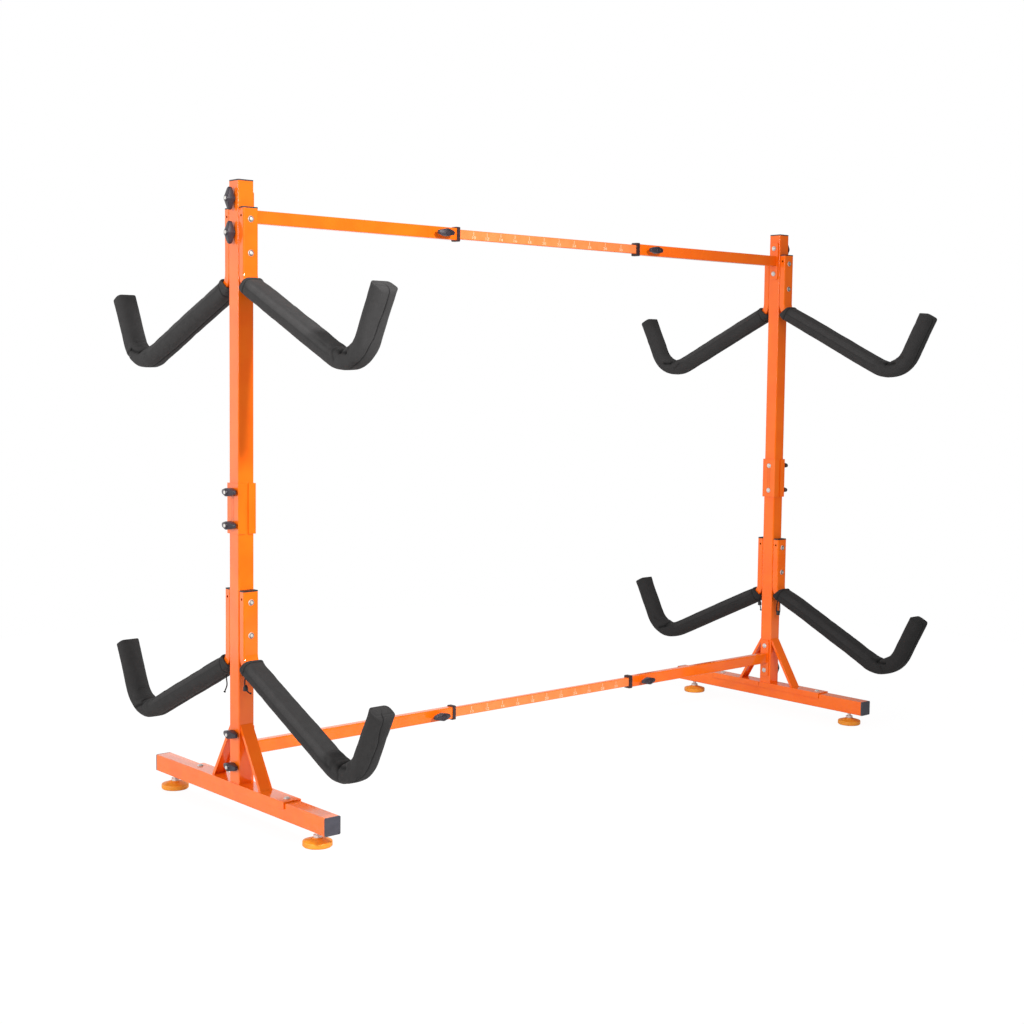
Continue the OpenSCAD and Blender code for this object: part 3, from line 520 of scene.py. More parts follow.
def open_ring(bm):
    """Wire of a rounded rectangle in the XY plane. Gives its vertices in order, outer face's middle first."""
    made = bmesh.ops.create_circle(bm, segments=4, radius=1, cap_ends=True)["verts"]
    rotate(bm, made, 45, "Z")
    bmesh.ops.scale(bm, vec=(mm(WIDE) * math.sqrt(2), mm(DEEP) * math.sqrt(2), 1), verts=made)
    bevel(bm, made, CORNER, 5, "VERTICES")
    bmesh.ops.delete(bm, geom=bm.faces[:], context="FACES_ONLY")
    flat = [e for e in bm.edges if e.calc_length() > mm(CORNER)]
    wide = [e for e in flat if abs(e.verts[0].co.y - e.verts[1].co.y) < 1e-6]
    deep = [e for e in flat if e not in wide]
    bmesh.ops.subdivide_edges(bm, edges=wide, cuts=7)
    bmesh.ops.subdivide_edges(bm, edges=deep, cuts=5)
    first = min(bm.verts, key=lambda v: (round(v.co.y, 5), abs(v.co.x)))
    order = [first, max((e.other_vert(first) for e in first.link_edges), key=lambda v: v.co.x)]
    while len(order) < len(bm.verts):
        before, last = order[-2:]
        order.append(next(v for v in (e.other_vert(last) for e in last.link_edges) if v is not before))
    return order


def near_line(s, t, line):
    """Distance in millimetres from a point of a face to a line drawn on it."""
    best = 1e9
    for (s0, t0), (s1, t1) in zip(line, line[1:]):
        ds, dt = s1 - s0, t1 - t0
        k = min(1, max(0, ((s - s0) * ds + (t - t0) * dt) / (ds * ds + dt * dt)))
        best = min(best, math.hypot(s - s0 - k * ds, t - t0 - k * dt))
    return best


def between(table, s):
    """Value of a table of (s, value) pairs at s, eased between its rows."""
    if s <= table[0][0]:
        return table[0][1]
    for (s0, a), (s1, b) in zip(table, table[1:]):
        if s <= s1:
            k = (s - s0) / (s1 - s0)
            return a + (b - a) * k * k * (3 - 2 * k)
    return table[-1][1]


# how far the cloth stands out on the inside of the outer bend: rows of (s, height)
RISE_INSIDE = [(BEND_START - 30, 0), (BEND_START - 6, 1.5), (BEND_START + 12, 3), (FOLD - 14, 3),
               (FOLD - 5, 1.2), (FOLD, -5.5), (FOLD + 5, 1.0), (FOLD + 22, 2.6), (FOLD + 42, 1.5),
               (FOLD + 62, 0)]
# how far each cover's seam strays from the middle of its outer face: rows of (s, x)
SEAMS = {
    "left_upper_front": [(170, 0), (400, -8), (613, -12), (654, -9), (680, -3), (703, -2), (741, 1),
                         (786, 1)],
    "left_lower_front": [(170, -2), (420, -12), (560, -15), (621, -14), (638, -7), (672, -5), (715, -2),
                         (758, -9), (786, -9)],
    "left_upper_back": [(170, 2), (400, 5), (600, -4), (700, 3), (786, 4)],
    "left_lower_back": [(170, -3), (350, 4), (560, 2), (690, -5), (786, -2)],
    "right_upper_front": [(170, 3), (420, 6), (600, 1), (700, -4), (786, -2)],
    "right_upper_back": [(170, -4), (380, 2), (590, 6), (700, 2), (786, 3)],
    "right_lower_front": [(170, 0), (400, -6), (610, -9), (680, -2), (786, -3)],
    "right_lower_back": [(170, 4), (420, 0), (600, -6), (720, -1), (786, 0)],
}
# folds that the cloth takes on the cover's -X face at the outer bend: (depth, width, line of (s, t))
CREASES = {
    "left_upper_front": [(2.4, 4.5, [(556, 21), (575, 19), (598, 14), (613, 8)]),
                         (0.9, 5, [(500, 19), (540, 15), (556, 19)]), (0.9, 3.5, [(558, 14), (568, -1)]),
                         (1.0, 3.5, [(613, 8), (630, 13), (648, 20)])],
    "left_lower_front": [(2.4, 4.5, [(552, 21), (572, 20), (598, 16), (620, 11)]),
                         (1.0, 3.5, [(587, 12), (588, 0), (585, -10)]),
                         (0.9, 6, [(528, 14), (545, 4), (560, 8)])],
    "left_upper_back": [(2.2, 4.5, [(547, 22), (585, 17), (629, 9)]),
                        (1.6, 3.5, [(629, 9), (634, -2), (631, -19)])],
    "left_lower_back": [(2.2, 4.0, [(556, 22), (577, 13), (597, 4), (611, -8)]),
                        (0.8, 4, [(600, 20), (625, 8)])],
    "right_upper_front": [(2.2, 4.5, [(560, 21), (590, 17), (622, 9)]), (1.0, 4, [(640, 18), (655, 4)])],
    "right_upper_back": [(2.0, 4.5, [(552, 21), (588, 14), (616, 6)]), (0.9, 4, [(540, 6), (566, -4)])],
    "right_lower_front": [(2.2, 4.5, [(556, 21), (584, 18), (618, 8)]), (1.0, 4, [(598, 4), (603, -14)])],
    "right_lower_back": [(2.0, 4.5, [(558, 21), (592, 12), (610, 0)]), (0.9, 4, [(628, 16), (650, 10)])],
}
# long fold of the cloth along both sides of the straight part, at this height above the middle of the side
EDGE_T = 3.0
EDGE_FOLD = (0.5, 2.6, [(190, EDGE_T), (300, EDGE_T + 1), (440, EDGE_T), (548, EDGE_T + 2)])
# how far each cover's foam has sagged or shifted on its arm: rows of (s, x, outwards, up)
SHIFTS = {
    "left_upper_back": [(170, 0, 0, 0), (400, -3, 4, 0), (600, -4, 7, 0), (786, -3, 6, 0)],
    "left_lower_back": [(170, 0, 0, 0), (400, -2, 3, -3), (600, -3, 6, -6), (786, -2, 4, -7)],
    "left_lower_front": [(170, 0, 0, 0), (400, 0, 0, -3), (600, 0, 0, -5), (786, 0, 0, -5)],
    "right_upper_front": [(170, 0, 0, 0), (600, 0, 0, -4), (786, 0, 0, -4)],
    "right_upper_back": [(170, 0, 0, 0), (600, 0, 0, -4), (786, 0, 0, -4)],
    "right_lower_back": [(170, 0, 0, 0), (600, -1, 0, 0), (786, -3, 2, 3)],
    "right_lower_front": [(170, 0, 0, 5.5), (260, 0, 0, 7), (420, 0, 0, 4.5), (600, 0, 0, 0)],
}


def shift_of(name, s):
    """How far the cover has shifted at s, as a vector in metres. The left upper front one has not."""
    rows = SHIFTS.get(name, [(0, 0, 0, 0)])
    across, outwards, up = (between([(r[0], r[i]) for r in rows], s) for i in (1, 2, 3))
    return Vector((mm(across), -mm(outwards), mm(up)))


STITCH = 16.0                            # from the hem to its stitch line
OUTER_CORNER, INNER_CORNER = 12.0, 4.5   # radii of the tip's corners, seen from the side
CHANNEL_WIDE, CHANNEL_DEEP = 19.2, 10.2  # half sizes of the channel for the arm tube
CHANNEL_LIP, CHANNEL_WALL = 1.2, 7.8     # how far the channel starts inside the hem and ends short of the tip
# rings that close the tip: share of the last ring's size, and how far each stands out
TIP_RINGS = ((0.86, 0.5), (0.62, 1.0), (0.36, 1.3), (0.14, 1.4))


def rounded(k):
    """Drop of a rounded end of radius 1 at a distance k from it: from 1 down to 0."""
    return 1 - math.sqrt(max(0, 1 - (1 - k) ** 2))


def outward(x, t):
    """Unit direction that points out of the padded section from one of its points."""
    if t < -DEEP + 0.01:
        return 0.0, -1.0
    nx = x - max(-WIDE + CORNER, min(WIDE - CORNER, x))
    nt = t - max(-DEEP + CORNER, min(DEEP - CORNER, t))
    length = math.hypot(nx, nt) or 1
    return nx / length, nt / length


def lie(s, around, seed):
    """How far the cloth stands out by itself: slow swells of about 40 mm, and small puckers of about 12 mm,
    more of them at the bend and the hem. around is the angle round the section."""
    at = Vector((s / 42 + seed * 7.3, 1.3 * math.cos(around), 1.3 * math.sin(around)))
    fine = Vector((s / 9, 2.2 * math.cos(around) + seed, 2.2 * math.sin(around)))
    busy = 0.3 + 0.9 * math.exp(-((s - FOLD) / 45) ** 2) + 0.6 * math.exp(-(s - COVER_START) / 18)
    return 0.7 * noise.noise(at) + 0.35 * noise.noise(at * 2.9) + 0.4 * busy * noise.noise(fine)


def hem(u, around, seed):
    """How far the hem stands out at u from its end: bead over the drawstring, stitch line and gathers."""
    bead = 0.7 * math.exp(-((u - 8) / 5) ** 2)
    stitch = 1.5 * math.exp(-((u - STITCH) / 1.6) ** 2)
    gathers = 0.55 * math.exp(-((u - 15) / 10) ** 2) * math.cos(13 * around + 2 * math.sin(3 * around + seed))
    return bead - stitch + gathers


def sewn(name, s, x, t, seed):
    """Where a point of the plain section goes on the finished cover: (x, t, held, shading). held is for
    stitched or folded cloth. The last value is painted light and shade for the cloth's colour: 0 is a painted
    highlight on a stretched facet, 0.3 is plain cloth, 1 is painted shade deep in a fold or seam."""
    held, tuck, groove = False, 0.3, 0.0
    if t < -DEEP + 0.01 and abs(x) <= WIDE - CORNER + 0.01:
        # outer face, whose middle row is the seam
        k = abs(x) / (WIDE - CORNER)
        x = x * (0.42 + 0.58 * k) + between(SEAMS[name], s) * (1 - k * k)
        held = k < 0.001
        groove = 1.9 if held else (-0.35 if k < 0.3 else 0.0)
        # painted shade in the seam
        tuck += 0.6 if held else 0.0
    nx, nt = outward(x, t)
    crown = abs(nt) * math.cos(math.pi / 2 * x / WIDE) + abs(nx) * math.cos(math.pi / 2 * t / DEEP)
    around = math.atan2(t / DEEP, x / WIDE)
    u = s - COVER_START
    out = 1.5 * crown - groove + lie(s, around, seed) + hem(u, around, seed)
    if u < 4:
        out -= 3.6 * rounded(u / 4)
    held = held or u < 1 or abs(u - STITCH) < 1.2
    # painted shade along the stitch line
    tuck += 0.35 * math.exp(-((u - STITCH) / 1.8) ** 2)
    # fold and swells on the inside of the outer bend, with painted shade in the fold
    inside = max(0.0, t / DEEP) ** 1.5
    out += between(RISE_INSIDE, s) * inside * abs(nt) ** 0.5 if nt > 0 else 0.0
    held = held or (inside > 0.4 and abs(s - FOLD) < 3)
    tuck += 0.35 * inside * math.exp(-((s - FOLD) / 6) ** 2)
    # long facet of the straight part's sides, near its inner face, where the cloth is stretched,
    #     # with a painted highlight along it
    if abs(nx) > 0.5 and t > EDGE_T:
        facet = between([(182, 0), (215, 1), (520, 1), (552, 0)], s)
        out -= 0.32 * (t - EDGE_T) * facet
        tuck -= 0.3 * facet
    # creases on the -X side, and weaker ones a little further along the +X side, with painted shade in them
    for depth, width, line in CREASES[name] + [EDGE_FOLD]:
        side = -nx if nx < 0 else 0.85 * nx
        d = near_line(s if nx < 0 else s + 9, t, line)
        if side > 0.25 and d < 4 * width:
            ridge = 0.4 * math.exp(-((d - 1.9 * width) / width) ** 2)
            out += side * depth * (ridge - 1.25 * math.exp(-(d / width) ** 2))
            held = held or (d < 0.6 * width and depth > 1.5)
            tuck += side * min(0.6, 0.3 * depth) * math.exp(-(d / (0.8 * width)) ** 2)
    x, t = x + nx * out, t + nt * out
    # tip: cut flat, with a round corner on its outer side and a small one on its inner side
    u = END - s
    if u < OUTER_CORNER:
        t = max(t, -DEEP - 1.5 + OUTER_CORNER * rounded(u / OUTER_CORNER))
    if u < INNER_CORNER:
        t = min(t, DEEP + 1.5 - INNER_CORNER * rounded(u / INNER_CORNER))
    if u < 3:
        x *= 1 - 0.09 * rounded(u / 3)
        held = held or u < 1
    return x, t, held, tuck


def cover_stops():
    """Places of a cover's rings along the arm, closest at the hem, its stitch line and the tip."""
    first = [COVER_START + d for d in (0, 0.5, 1.4, 2.6, 4.2, 6.6, 9.4, 12, 14.2, 15.2, 16, 16.8, 17.8)]
    last = [END - d for d in (12, 10, 8, 6, 4.4, 3, 1.9, 1.1, 0.5, 0)]
    straight, bend = stops(COVER_START + 20, BEND_START, 4.6), stops(BEND_START, BEND_END, 3.2)
    return first + straight + bend + stops(BEND_END, END - 12, 5) + last


def sweep(bm, ring, stop_list, s_of):
    """Carry a ring of vertices along the arm from stop to stop. Gives all rings and the last one's edges."""
    rings, edges = [ring], [e for e in bm.edges if e.verts[0] in set(ring) and e.verts[1] in set(ring)]
    for s0, s1 in zip(stop_list, stop_list[1:]):
        new, edges = extrude_ring(bm, edges)
        bmesh.ops.transform(bm, matrix=section_matrix(s1) @ section_matrix(s0).inverted(), verts=new)
        for v in new:
            v[s_of] = s1
        rings.append(new)
    return rings, edges


def close_tip(bm, last, edges, s_of, turn_of):
    """Draw the last ring in step by step, a little domed, and fill it. Gives the vertices that this adds."""
    middle = sum((v.co for v in last), Vector()) / len(last)
    base = {v[turn_of]: v.co.copy() for v in last}
    ahead = section_matrix(END).to_3x3() @ Vector((0, 0, 1))
    added = []
    for shrink, rise in TIP_RINGS:
        new, edges = extrude_ring(bm, edges)
        for v in new:
            v[s_of] = END + rise
            v.co = middle + (base[v[turn_of]] - middle) * shrink + ahead * mm(rise)
        added += new
    bmesh.ops.contextual_create(bm, geom=edges)
    return added


def line_channel(bm, hem_edges, s_of):
    """Wall of the channel for the arm tube, drawn in from the hem. Gives its vertices."""
    new, _ = extrude_ring(bm, hem_edges)
    place = section_matrix(COVER_START)
    for v in new:
        x, t = (place.inverted() @ v.co).to_2d() * 1000
        q = max(abs(x) / CHANNEL_WIDE, abs(t) / CHANNEL_DEEP)
        v.co = place @ Vector((mm(x / q), mm(t / q), mm(CHANNEL_LIP)))
        v[s_of] = COVER_START + CHANNEL_LIP
    straight, bend = stops(ROOT_END, BEND_START, 60), stops(BEND_START, BEND_END, 9)
    rings, edges = sweep(bm, new, [COVER_START + CHANNEL_LIP] + straight + bend + [END - CHANNEL_WALL], s_of)
    bmesh.ops.contextual_create(bm, geom=edges)
    return [v for ring in rings for v in ring]


def lay_cloth(bm, count, s_of, turn_of):
    """UV map of the cloth in metres: round the cover, and along it."""
    uv = bm.loops.layers.uv.new("cloth")
    around = 2 * (2 * WIDE + 2 * DEEP) - (8 - 2 * math.pi) * CORNER
    for f in bm.faces:
        wraps = max(v[turn_of] for v in f.verts) - min(v[turn_of] for v in f.verts) > count / 2
        for loop in f.loops:
            i = loop.vert[turn_of] + (count if wraps and loop.vert[turn_of] < count / 2 else 0)
            loop[uv].uv = (mm(around) * i / count, mm(loop.vert[s_of]))


def cover(side, tier, end, seed):
    """Padded sleeve over an arm: foam in a woven cover, hemmed at its drawstring and closed at the tip."""
    name = f"{side}_{tier}_{end}"
    bm = bmesh.new()
    # the vertices carry painted light and shade for the cloth's colour
    s_of, painted_shading_of = bm.verts.layers.float.new("s"), bm.verts.layers.float.new("tuck")
    turn_of = bm.verts.layers.int.new("turn")
    ring = open_ring(bm)
    for i, v in enumerate(ring):
        v[turn_of], v[s_of] = i, COVER_START
    bmesh.ops.transform(bm, matrix=section_matrix(COVER_START), verts=ring)
    hem_edges = bm.edges[:]
    rings, last_edges = sweep(bm, ring, cover_stops(), s_of)
    held = set()
    for v in bm.verts:
        place = section_matrix(v[s_of])
        x, t = (place.inverted() @ v.co).to_2d() * 1000
        x, t, hold, v[painted_shading_of] = sewn(name, v[s_of], x, t, seed)
        v.co = place @ Vector((mm(x), mm(t), 0)) + shift_of(name, v[s_of])
        if hold:
            held.add(v)
    held.update(close_tip(bm, rings[-1], last_edges, s_of, turn_of))
    held.update(line_channel(bm, hem_edges, s_of))
    lay_cloth(bm, len(ring), s_of, turn_of)
    if end == "back":
        bmesh.ops.scale(bm, vec=(1, -1, 1), verts=bm.verts)
    move(bm, bm.verts, SIDES[side] * POST_X, 0, TOPS[tier])
    bmesh.ops.recalc_face_normals(bm, faces=bm.faces)
    bm.verts.index_update()
    held = sorted(v.index for v in held)
    piece = new_piece(name + "_padding", bm, CLOTHS[f"{side}_{tier}"], side + "_frame")
    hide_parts(name + "_cover")
    piece.vertex_groups.new(name="stitched").add(held, 1.0, "REPLACE")
    return piece


FOAM_FRAMES = 20   # frames of simulation in which the foam fills its cover
FOAM_SETTINGS = {"quality": 4, "use_pressure": True, "uniform_pressure_force": 4.0,
                 "vertex_group_mass": "stitched", "tension_stiffness": 12, "compression_stiffness": 12,
                 "bending_stiffness": 0.4}


def fill_with_foam(covers, most):
    """Blow the cloth out against its stitches with Blender's Cloth, by at most so many millimetres."""
    scene = bpy.context.scene
    for piece in covers:
        cloth = piece.modifiers.new("foam", "CLOTH")
        for key, value in FOAM_SETTINGS.items():
            setattr(cloth.settings, key, value)
        cloth.settings.effector_weights.gravity = 0.0
        cloth.collision_settings.use_collision = False
        cloth.point_cache.frame_start, cloth.point_cache.frame_end = 1, FOAM_FRAMES
    for moment in range(1, FOAM_FRAMES + 1):
        scene.frame_set(moment)
    graph = bpy.context.evaluated_depsgraph_get()
    for piece in covers:
        blown = [v.co.copy() for v in piece.evaluated_get(graph).data.vertices]
        piece.modifiers.remove(piece.modifiers["foam"])
        for vert, co in zip(piece.data.vertices, blown):
            step = co - vert.co
            vert.co += step * min(1.0, mm(most) / step.length) if step.length > 1e-9 else Vector()
    scene.frame_set(1)


COVERS = [cover(side, tier, end, 1.7 + 2.31 * i) for i, (side, tier, end) in
          enumerate((s, t, e) for s in SIDES for t in ("upper", "lower") for e in ("front", "back"))]
fill_with_foam(COVERS, 2.0)
for piece in COVERS:
    soft = piece.modifiers.new("smooth_cloth", "SUBSURF")
    soft.levels = soft.render_levels = 1


# ---------------------------------------------------------------- knobs

KNOB_SPAN, KNOB_WIDE = 51.0, 19.0   # tip to tip, and across the middle
LOBE = KNOB_WIDE * 0.29             # radius of a wing's rounded end, seen from above
BASE, WING_LOW = 3.0, 6.5           # heights of the wings' underside at the hub and at the tip
WING_TOP, WING_HIGH = 19.5, 13.5    # heights of the wings' top at the hub and at the tip
SKIRT, RIDGE = 7.4, 3.7             # how far from the bolt the underside and the top start to slope
BOSS_TOP = 21.0                     # height of the boss round the bolt


def lathe(bm, profile, segments):
    """Turn a profile of (radius, height) pairs, in millimetres, about the Z axis."""
    verts = [bm.verts.new((mm(r), 0, mm(z))) for r, z in profile]
    edges = [bm.edges.new(pair) for pair in zip(verts, verts[1:])]
    bmesh.ops.spin(bm, geom=verts + edges, cent=(0, 0, 0), axis=(0, 0, 1), angle=2 * math.pi, steps=segments,
                   use_merge=True, use_duplicate=False)
    bmesh.ops.remove_doubles(bm, verts=bm.verts, dist=mm(0.005))


def closed_hull(bm):
    """Keep only the convex hull of the mesh, with its flat parts as single faces."""
    bmesh.ops.delete(bm, geom=bm.edges[:], context="EDGES_FACES")
    out = bmesh.ops.convex_hull(bm, input=bm.verts[:])
    inside = {g for g in out["geom_interior"] + out["geom_unused"] if isinstance(g, bmesh.types.BMVert)}
    bmesh.ops.delete(bm, geom=list(inside), context="VERTS")
    bmesh.ops.dissolve_limit(bm, angle_limit=math.radians(1), verts=bm.verts[:], edges=bm.edges[:])


def cut_off(bm, x, z, out_x, out_z):
    """Cut away what lies outside a plane across the wings, through (x, z) and facing (out_x, out_z)."""
    bmesh.ops.bisect_plane(bm, geom=bm.verts[:] + bm.edges[:] + bm.faces[:], dist=1e-6, clear_outer=True,
                           plane_co=(mm(x), 0, mm(z)), plane_no=Vector((out_x, 0, out_z)).normalized())


def rims(bm):
    """Edges round the flat top, and round the flat underside."""
    upper, lower = [], []
    for e in bm.edges:
        if len(e.link_faces) == 2:
            least, most = sorted(f.normal.z for f in e.link_faces)
            if most > 0.9 and least < 0.3:
                upper.append(e)
            elif least < -0.9 and most > -0.3:
                lower.append(e)
    return upper, lower


def wings(bm):
    """Rhombic bar with round lobes, thick at the hub and thinner towards its raised tips."""
    tip = KNOB_SPAN / 2
    for z in (0, BOSS_TOP):
        for x, r, n in ((0, KNOB_WIDE / 2, 40), (tip - LOBE, LOBE, 28), (LOBE - tip, LOBE, 28)):
            ring = bmesh.ops.create_circle(bm, segments=n, radius=mm(r), cap_ends=False)["verts"]
            move(bm, ring, mm(x), 0, mm(z))
    closed_hull(bm)
    cut_off(bm, 0, BASE, 0, -1)
    cut_off(bm, 0, WING_TOP, 0, 1)
    for sign in (-1, 1):
        cut_off(bm, sign * SKIRT, BASE, sign * (WING_LOW - BASE), SKIRT - tip)
        cut_off(bm, sign * RIDGE, WING_TOP, sign * (WING_TOP - WING_HIGH), tip - RIDGE)
    closed_hull(bm)
    bm.normal_update()
    upper, lower = rims(bm)
    bevel(bm, upper, 2.2, 4)
    bevel(bm, [e for e in lower if e.is_valid], 0.8, 2)


def knob(node, place, lock):
    """Moulded wing knob in place of its CAD node: raised wings, a skirt under them, a boss round the bolt."""
    bm = bmesh.new()
    wings(bm)
    hub, top = bmesh.new(), BOSS_TOP
    boss = [(8.0, 0.3), (8.15, 0.8), (SKIRT, BASE), (SKIRT, top - 1.0), (6.9, top - 0.2), (6.3, top)]
    if lock:
        profile = [(0, 0.3), *boss, (5.6, top), (5.3, top - 0.3), (5.1, top - 1.4), (0, top - 1.5)]
    else:
        profile = [(4.1, 0.3), *boss, (5.0, top), (4.8, top - 0.3), (4.6, top - 1.0), (4.1, top - 1.0)]
    lathe(hub, profile, 40)
    joined = bpy.data.meshes.new("hub")
    hub.to_mesh(joined)
    hub.free()
    bm.from_mesh(joined)
    bpy.data.meshes.remove(joined)
    bmesh.ops.recalc_face_normals(bm, faces=bm.faces)
    bmesh.ops.transform(bm, matrix=place, verts=bm.verts)
    piece = new_piece(node + "_moulding", bm, KNOB, node)
    sharp = piece.modifiers.new("crisp_edges", "EDGE_SPLIT")
    sharp.split_angle = math.radians(38)
    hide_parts(node)


HALF_PITCH = 37.5                    # from the middle of a plate or clamp to each of its two bolts
PLATE_FACE, CLAMP_FACE = 20.2, 23.4  # how far from the post's centre line the knobs on them sit
LOCK_X, LOCK_FACE = 374.0, 18.2      # a lock knob's place along the crossbar, and in front of its centre line


def place_knobs():
    """Twelve knobs on the posts' outer faces and four on the crossbars, each with its wings' own turn."""
    for side, sign in SIDES.items():
        rows = [("upper_plate", BARS["upper"], PLATE_FACE, 0), ("clamp", CLAMP, CLAMP_FACE, 90),
                ("lower_plate", BARS["lower"], PLATE_FACE, 90 if side == "left" else 0)]
        outwards = Matrix.Rotation(math.radians(90 * sign), 4, "Y")
        for row, z, face, turn in rows:
            turned = outwards @ Matrix.Rotation(math.radians(turn), 4, "Z")
            for which, up in (("top", 1), ("bottom", -1)):
                at = Matrix.Translation((sign * (POST_X + mm(face)), 0, z + up * mm(HALF_PITCH)))
                knob(f"{side}_{row}_{which}_knob", at @ turned, False)
        for tier, z in BARS.items():
            at = Matrix.Translation((sign * mm(LOCK_X), -mm(LOCK_FACE), z))
            knob(f"{side}_{tier}_lock_knob", at @ Matrix.Rotation(math.radians(90), 4, "X"), True)


place_knobs()


# ---------------------------------------------------------------- arm bolts

ARM_BOLTS = (27.0, 102.0)   # how far below the arms' tops the through-bolts are
HEAD_BASE = 40.0            # how far in front of the post's centre line the arms' front faces lie
# a bolt head's flank and flat centre: radius at the back and at the front, and where they start and end
FLANK_SIZE, CENTRE_SIZE = (6.5, 4.4, 2.25, 3.6), (2.5, 2.1, 3.4, 4.1)


def button_heads(side):
    """Front heads of the arms' through-bolts: a dark machined flank round a bright flat centre."""
    for name, finish, size in (("_bolt_flanks", FLANK, FLANK_SIZE), ("_bolt_centres", ZINC, CENTRE_SIZE)):
        back, front, start, end = size
        bm = bmesh.new()
        for top in TOPS.values():
            for down in ARM_BOLTS:
                made = cone(bm, (back, front, end - start), 24)
                rotate(bm, made, 90, "X")
                move(bm, made, SIDES[side] * POST_X, -mm(HEAD_BASE + (start + end) / 2), top - mm(down))
        new_piece(side + name, bm, finish, side + "_frame", smooth=False)


for side in SIDES:
    button_heads(side)


# ---------------------------------------------------------------- printed scales

# places of the marks along each bar in millimetres from the rack's middle; the upper tape's pitch grows
MARKS = {"upper": [-268.7 + 43.6 * i + 0.888 * i * i for i in range(11)],
         "lower": [-260.0 + 52.5 * i for i in range(11)]}
TAPE_SIZE = (664.0, 0.1, 21.4)               # length, thickness and height of the tape
TICK_SIZE, TICK_UP = (1.3, 0.04, 10.0), 4.2  # size of a tick, and how far above the bar's centre line it sits
NUMBER_HIGH, NUMBER_DOWN = 10.5, 8.6         # type size of the numbers, and how far down their feet are
BAR_FACE = 7.0                               # from the bars' centre line to their front face
TAPE_OUT, INK_OUT = 0.02, 0.08               # how far in front of that face tape and ink lie


def box(bm, size, at):
    """Box of a size in millimetres with its middle at a place in metres."""
    verts = bmesh.ops.create_cube(bm, size=1)["verts"]
    bmesh.ops.scale(bm, vec=[mm(side) for side in size], verts=verts)
    move(bm, verts, *at)


def number(bm, words, at):
    """Flat number in the plane of the bar's front face, its foot's middle at a place in metres."""
    curve = bpy.data.curves.new("number", "FONT")
    curve.body, curve.size, curve.align_x, curve.extrude = words, mm(NUMBER_HIGH), "CENTER", mm(0.02)
    holder = into_scene(bpy.data.objects.new("number", curve))
    bpy.context.view_layer.update()
    flat = bpy.data.meshes.new_from_object(holder)
    before = set(bm.verts)
    bm.from_mesh(flat)
    made = [v for v in bm.verts if v not in before]
    bmesh.ops.scale(bm, vec=(1.35, 0.95, 1), verts=made)   # wide numerals, as printed
    rotate(bm, made, 90, "X")
    move(bm, made, *at)
    bpy.data.objects.remove(holder)
    bpy.data.meshes.remove(flat)


def printed_scale(tier, z):
    """Pale tape on the front of a scale bar, with a tick and a number at each mark in white ink."""
    tape, ink = bmesh.new(), bmesh.new()
    box(tape, TAPE_SIZE, (0, -mm(BAR_FACE + TAPE_OUT), z))
    for i, x in enumerate(MARKS[tier]):
        box(ink, TICK_SIZE, (mm(x), -mm(BAR_FACE + INK_OUT), z + mm(TICK_UP)))
        number(ink, str(10 + 2 * i), (mm(x), -mm(BAR_FACE + INK_OUT), z - mm(NUMBER_DOWN)))
    new_piece(tier + "_scale_tape", tape, TAPE, tier + "_scale_bar", smooth=False)
    new_piece(tier + "_printed_scale", ink, INK, tier + "_scale_bar", smooth=False)


for tier, z in BARS.items():
    printed_scale(tier, z)


# ---------------------------------------------------------------- room and light

ROOM = 0.7          # strength of the room's even light
FLOOR_RADIUS = 2.6


def floor():
    """Plain pale floor that looks white to the camera and keeps the rack's soft shadow."""
    bm = bmesh.new()
    bmesh.ops.create_circle(bm, cap_ends=True, segments=96, radius=FLOOR_RADIUS)
    mesh = bpy.data.meshes.new("studio_floor")
    bm.to_mesh(mesh)
    bm.free()
    made = bpy.data.materials.new("studio_floor_white")
    made.use_nodes = True
    tree = made.node_tree
    tree.nodes.clear()
    pale = add(tree, "ShaderNodeBsdfDiffuse", Color=linear("#dcdcdc"))
    glow = add(tree, "ShaderNodeEmission", Color=(1, 1, 1, 1), Strength=0.93)
    soft = add(tree, "ShaderNodeBsdfDiffuse", Color=(0.1, 0.1, 0.1, 1))
    seen = add(tree, "ShaderNodeAddShader", [(0, glow.outputs[0]), (1, soft.outputs[0])])
    mix = by_ray(tree, "Is Camera Ray", pale, seen)
    add(tree, "ShaderNodeOutputMaterial", [("Surface", mix.outputs[0])])
    mesh.materials.append(made)
    into_scene(bpy.data.objects.new("studio_floor", mesh))


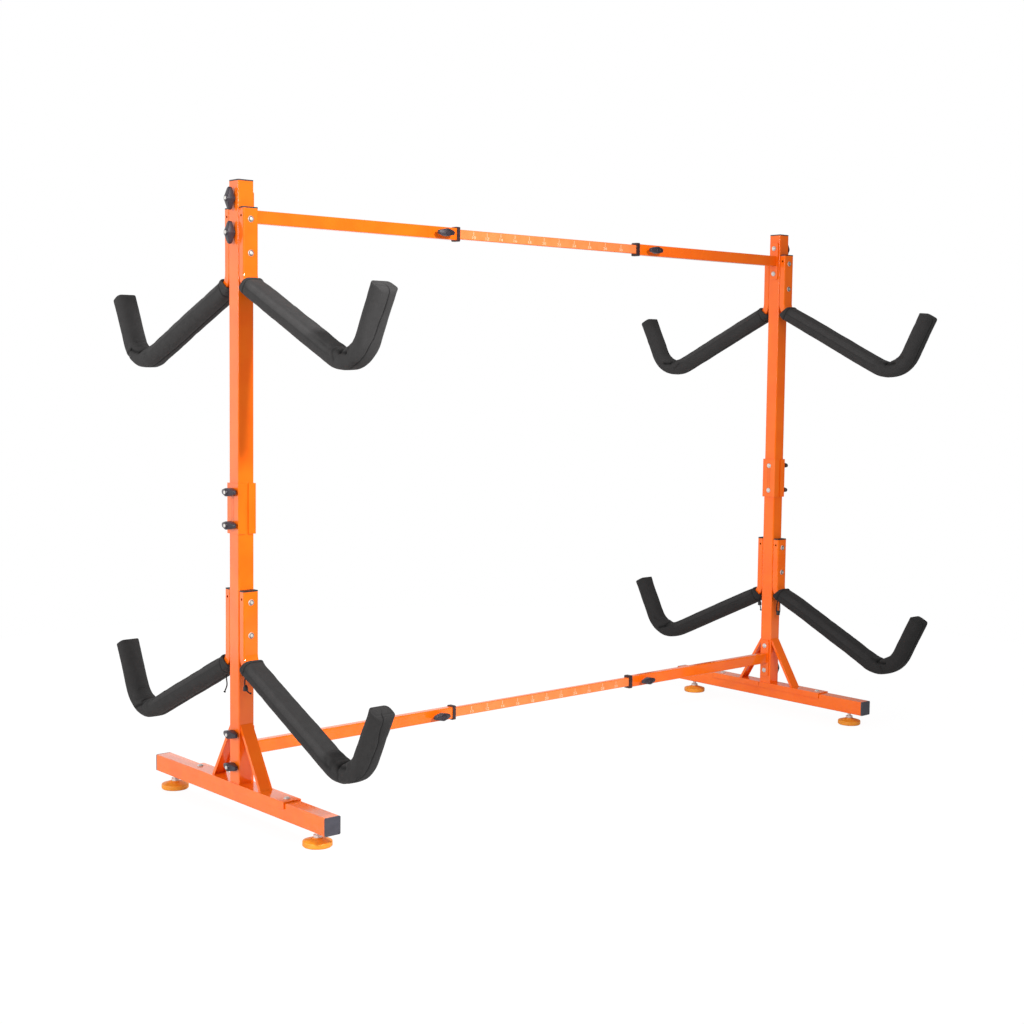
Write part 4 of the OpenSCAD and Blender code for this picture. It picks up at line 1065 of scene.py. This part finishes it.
def room():
    """White room with even light all round. In reflections it is bright behind the rack and dark in front of
    it, with one soft panel in front at the right."""
    world = bpy.data.worlds.new("white_room")
    world.use_nodes = True
    bpy.context.scene.world = world
    tree = world.node_tree
    tree.nodes.clear()
    place = add(tree, "ShaderNodeTexCoord").outputs["Generated"]

    def glow(toward, start, end, low, high):
        """Strength that rises from low to high as the direction turns from start to end, both cosines."""
        lean = add(tree, "ShaderNodeVectorMath", [(0, place)], operation="DOT_PRODUCT")
        lean.inputs[1].default_value = Vector(toward).normalized()
        return fade(tree, lean.outputs["Value"], start, end, low, high, interpolation_type="SMOOTHSTEP")

    behind = glow((-0.1, 1, 0), start=0.3, end=0.95, low=0.02, high=1.45)
    panel = glow((0.6, -0.8, 0.05), start=0.96, end=0.995, low=0.0, high=0.03)
    strength = add(tree, "ShaderNodeMath", [(0, behind), (1, panel)], operation="ADD")
    even = add(tree, "ShaderNodeBackground", Strength=ROOM)
    gloss = add(tree, "ShaderNodeBackground", [("Strength", strength.outputs["Value"])])
    white = add(tree, "ShaderNodeBackground", Strength=1.0)
    for node in (even, gloss, white):
        node.inputs["Color"].default_value = (1, 1, 1, 1)
    mix = by_ray(tree, "Is Camera Ray", by_ray(tree, "Is Glossy Ray", even, gloss), white)
    add(tree, "ShaderNodeOutputWorld", [("Surface", mix.outputs[0])])


def lamp(kind, name, at, aim, watts, **settings):
    """Lamp at a place in metres, pointed at another."""
    data = bpy.data.lights.new(name, kind)
    data.energy = watts
    for key, value in settings.items():
        setattr(data, key, value)
    made = into_scene(bpy.data.objects.new(name, data))
    made.location = at
    made.rotation_euler = (Vector(aim) - Vector(at)).to_track_quat("-Z", "Y").to_euler()


floor()
room()
lamp("SPOT", "key_front_left", (-0.8, -3.0, 2.35), (-0.62, 0, 0.75), 500, spot_size=math.radians(57),
     spot_blend=1.0, shadow_soft_size=0.16)
lamp("AREA", "fill_left", (-7.5, -0.5, 2.3), (-0.3, 0, 0.8), 255, shape="DISK", size=3.2)
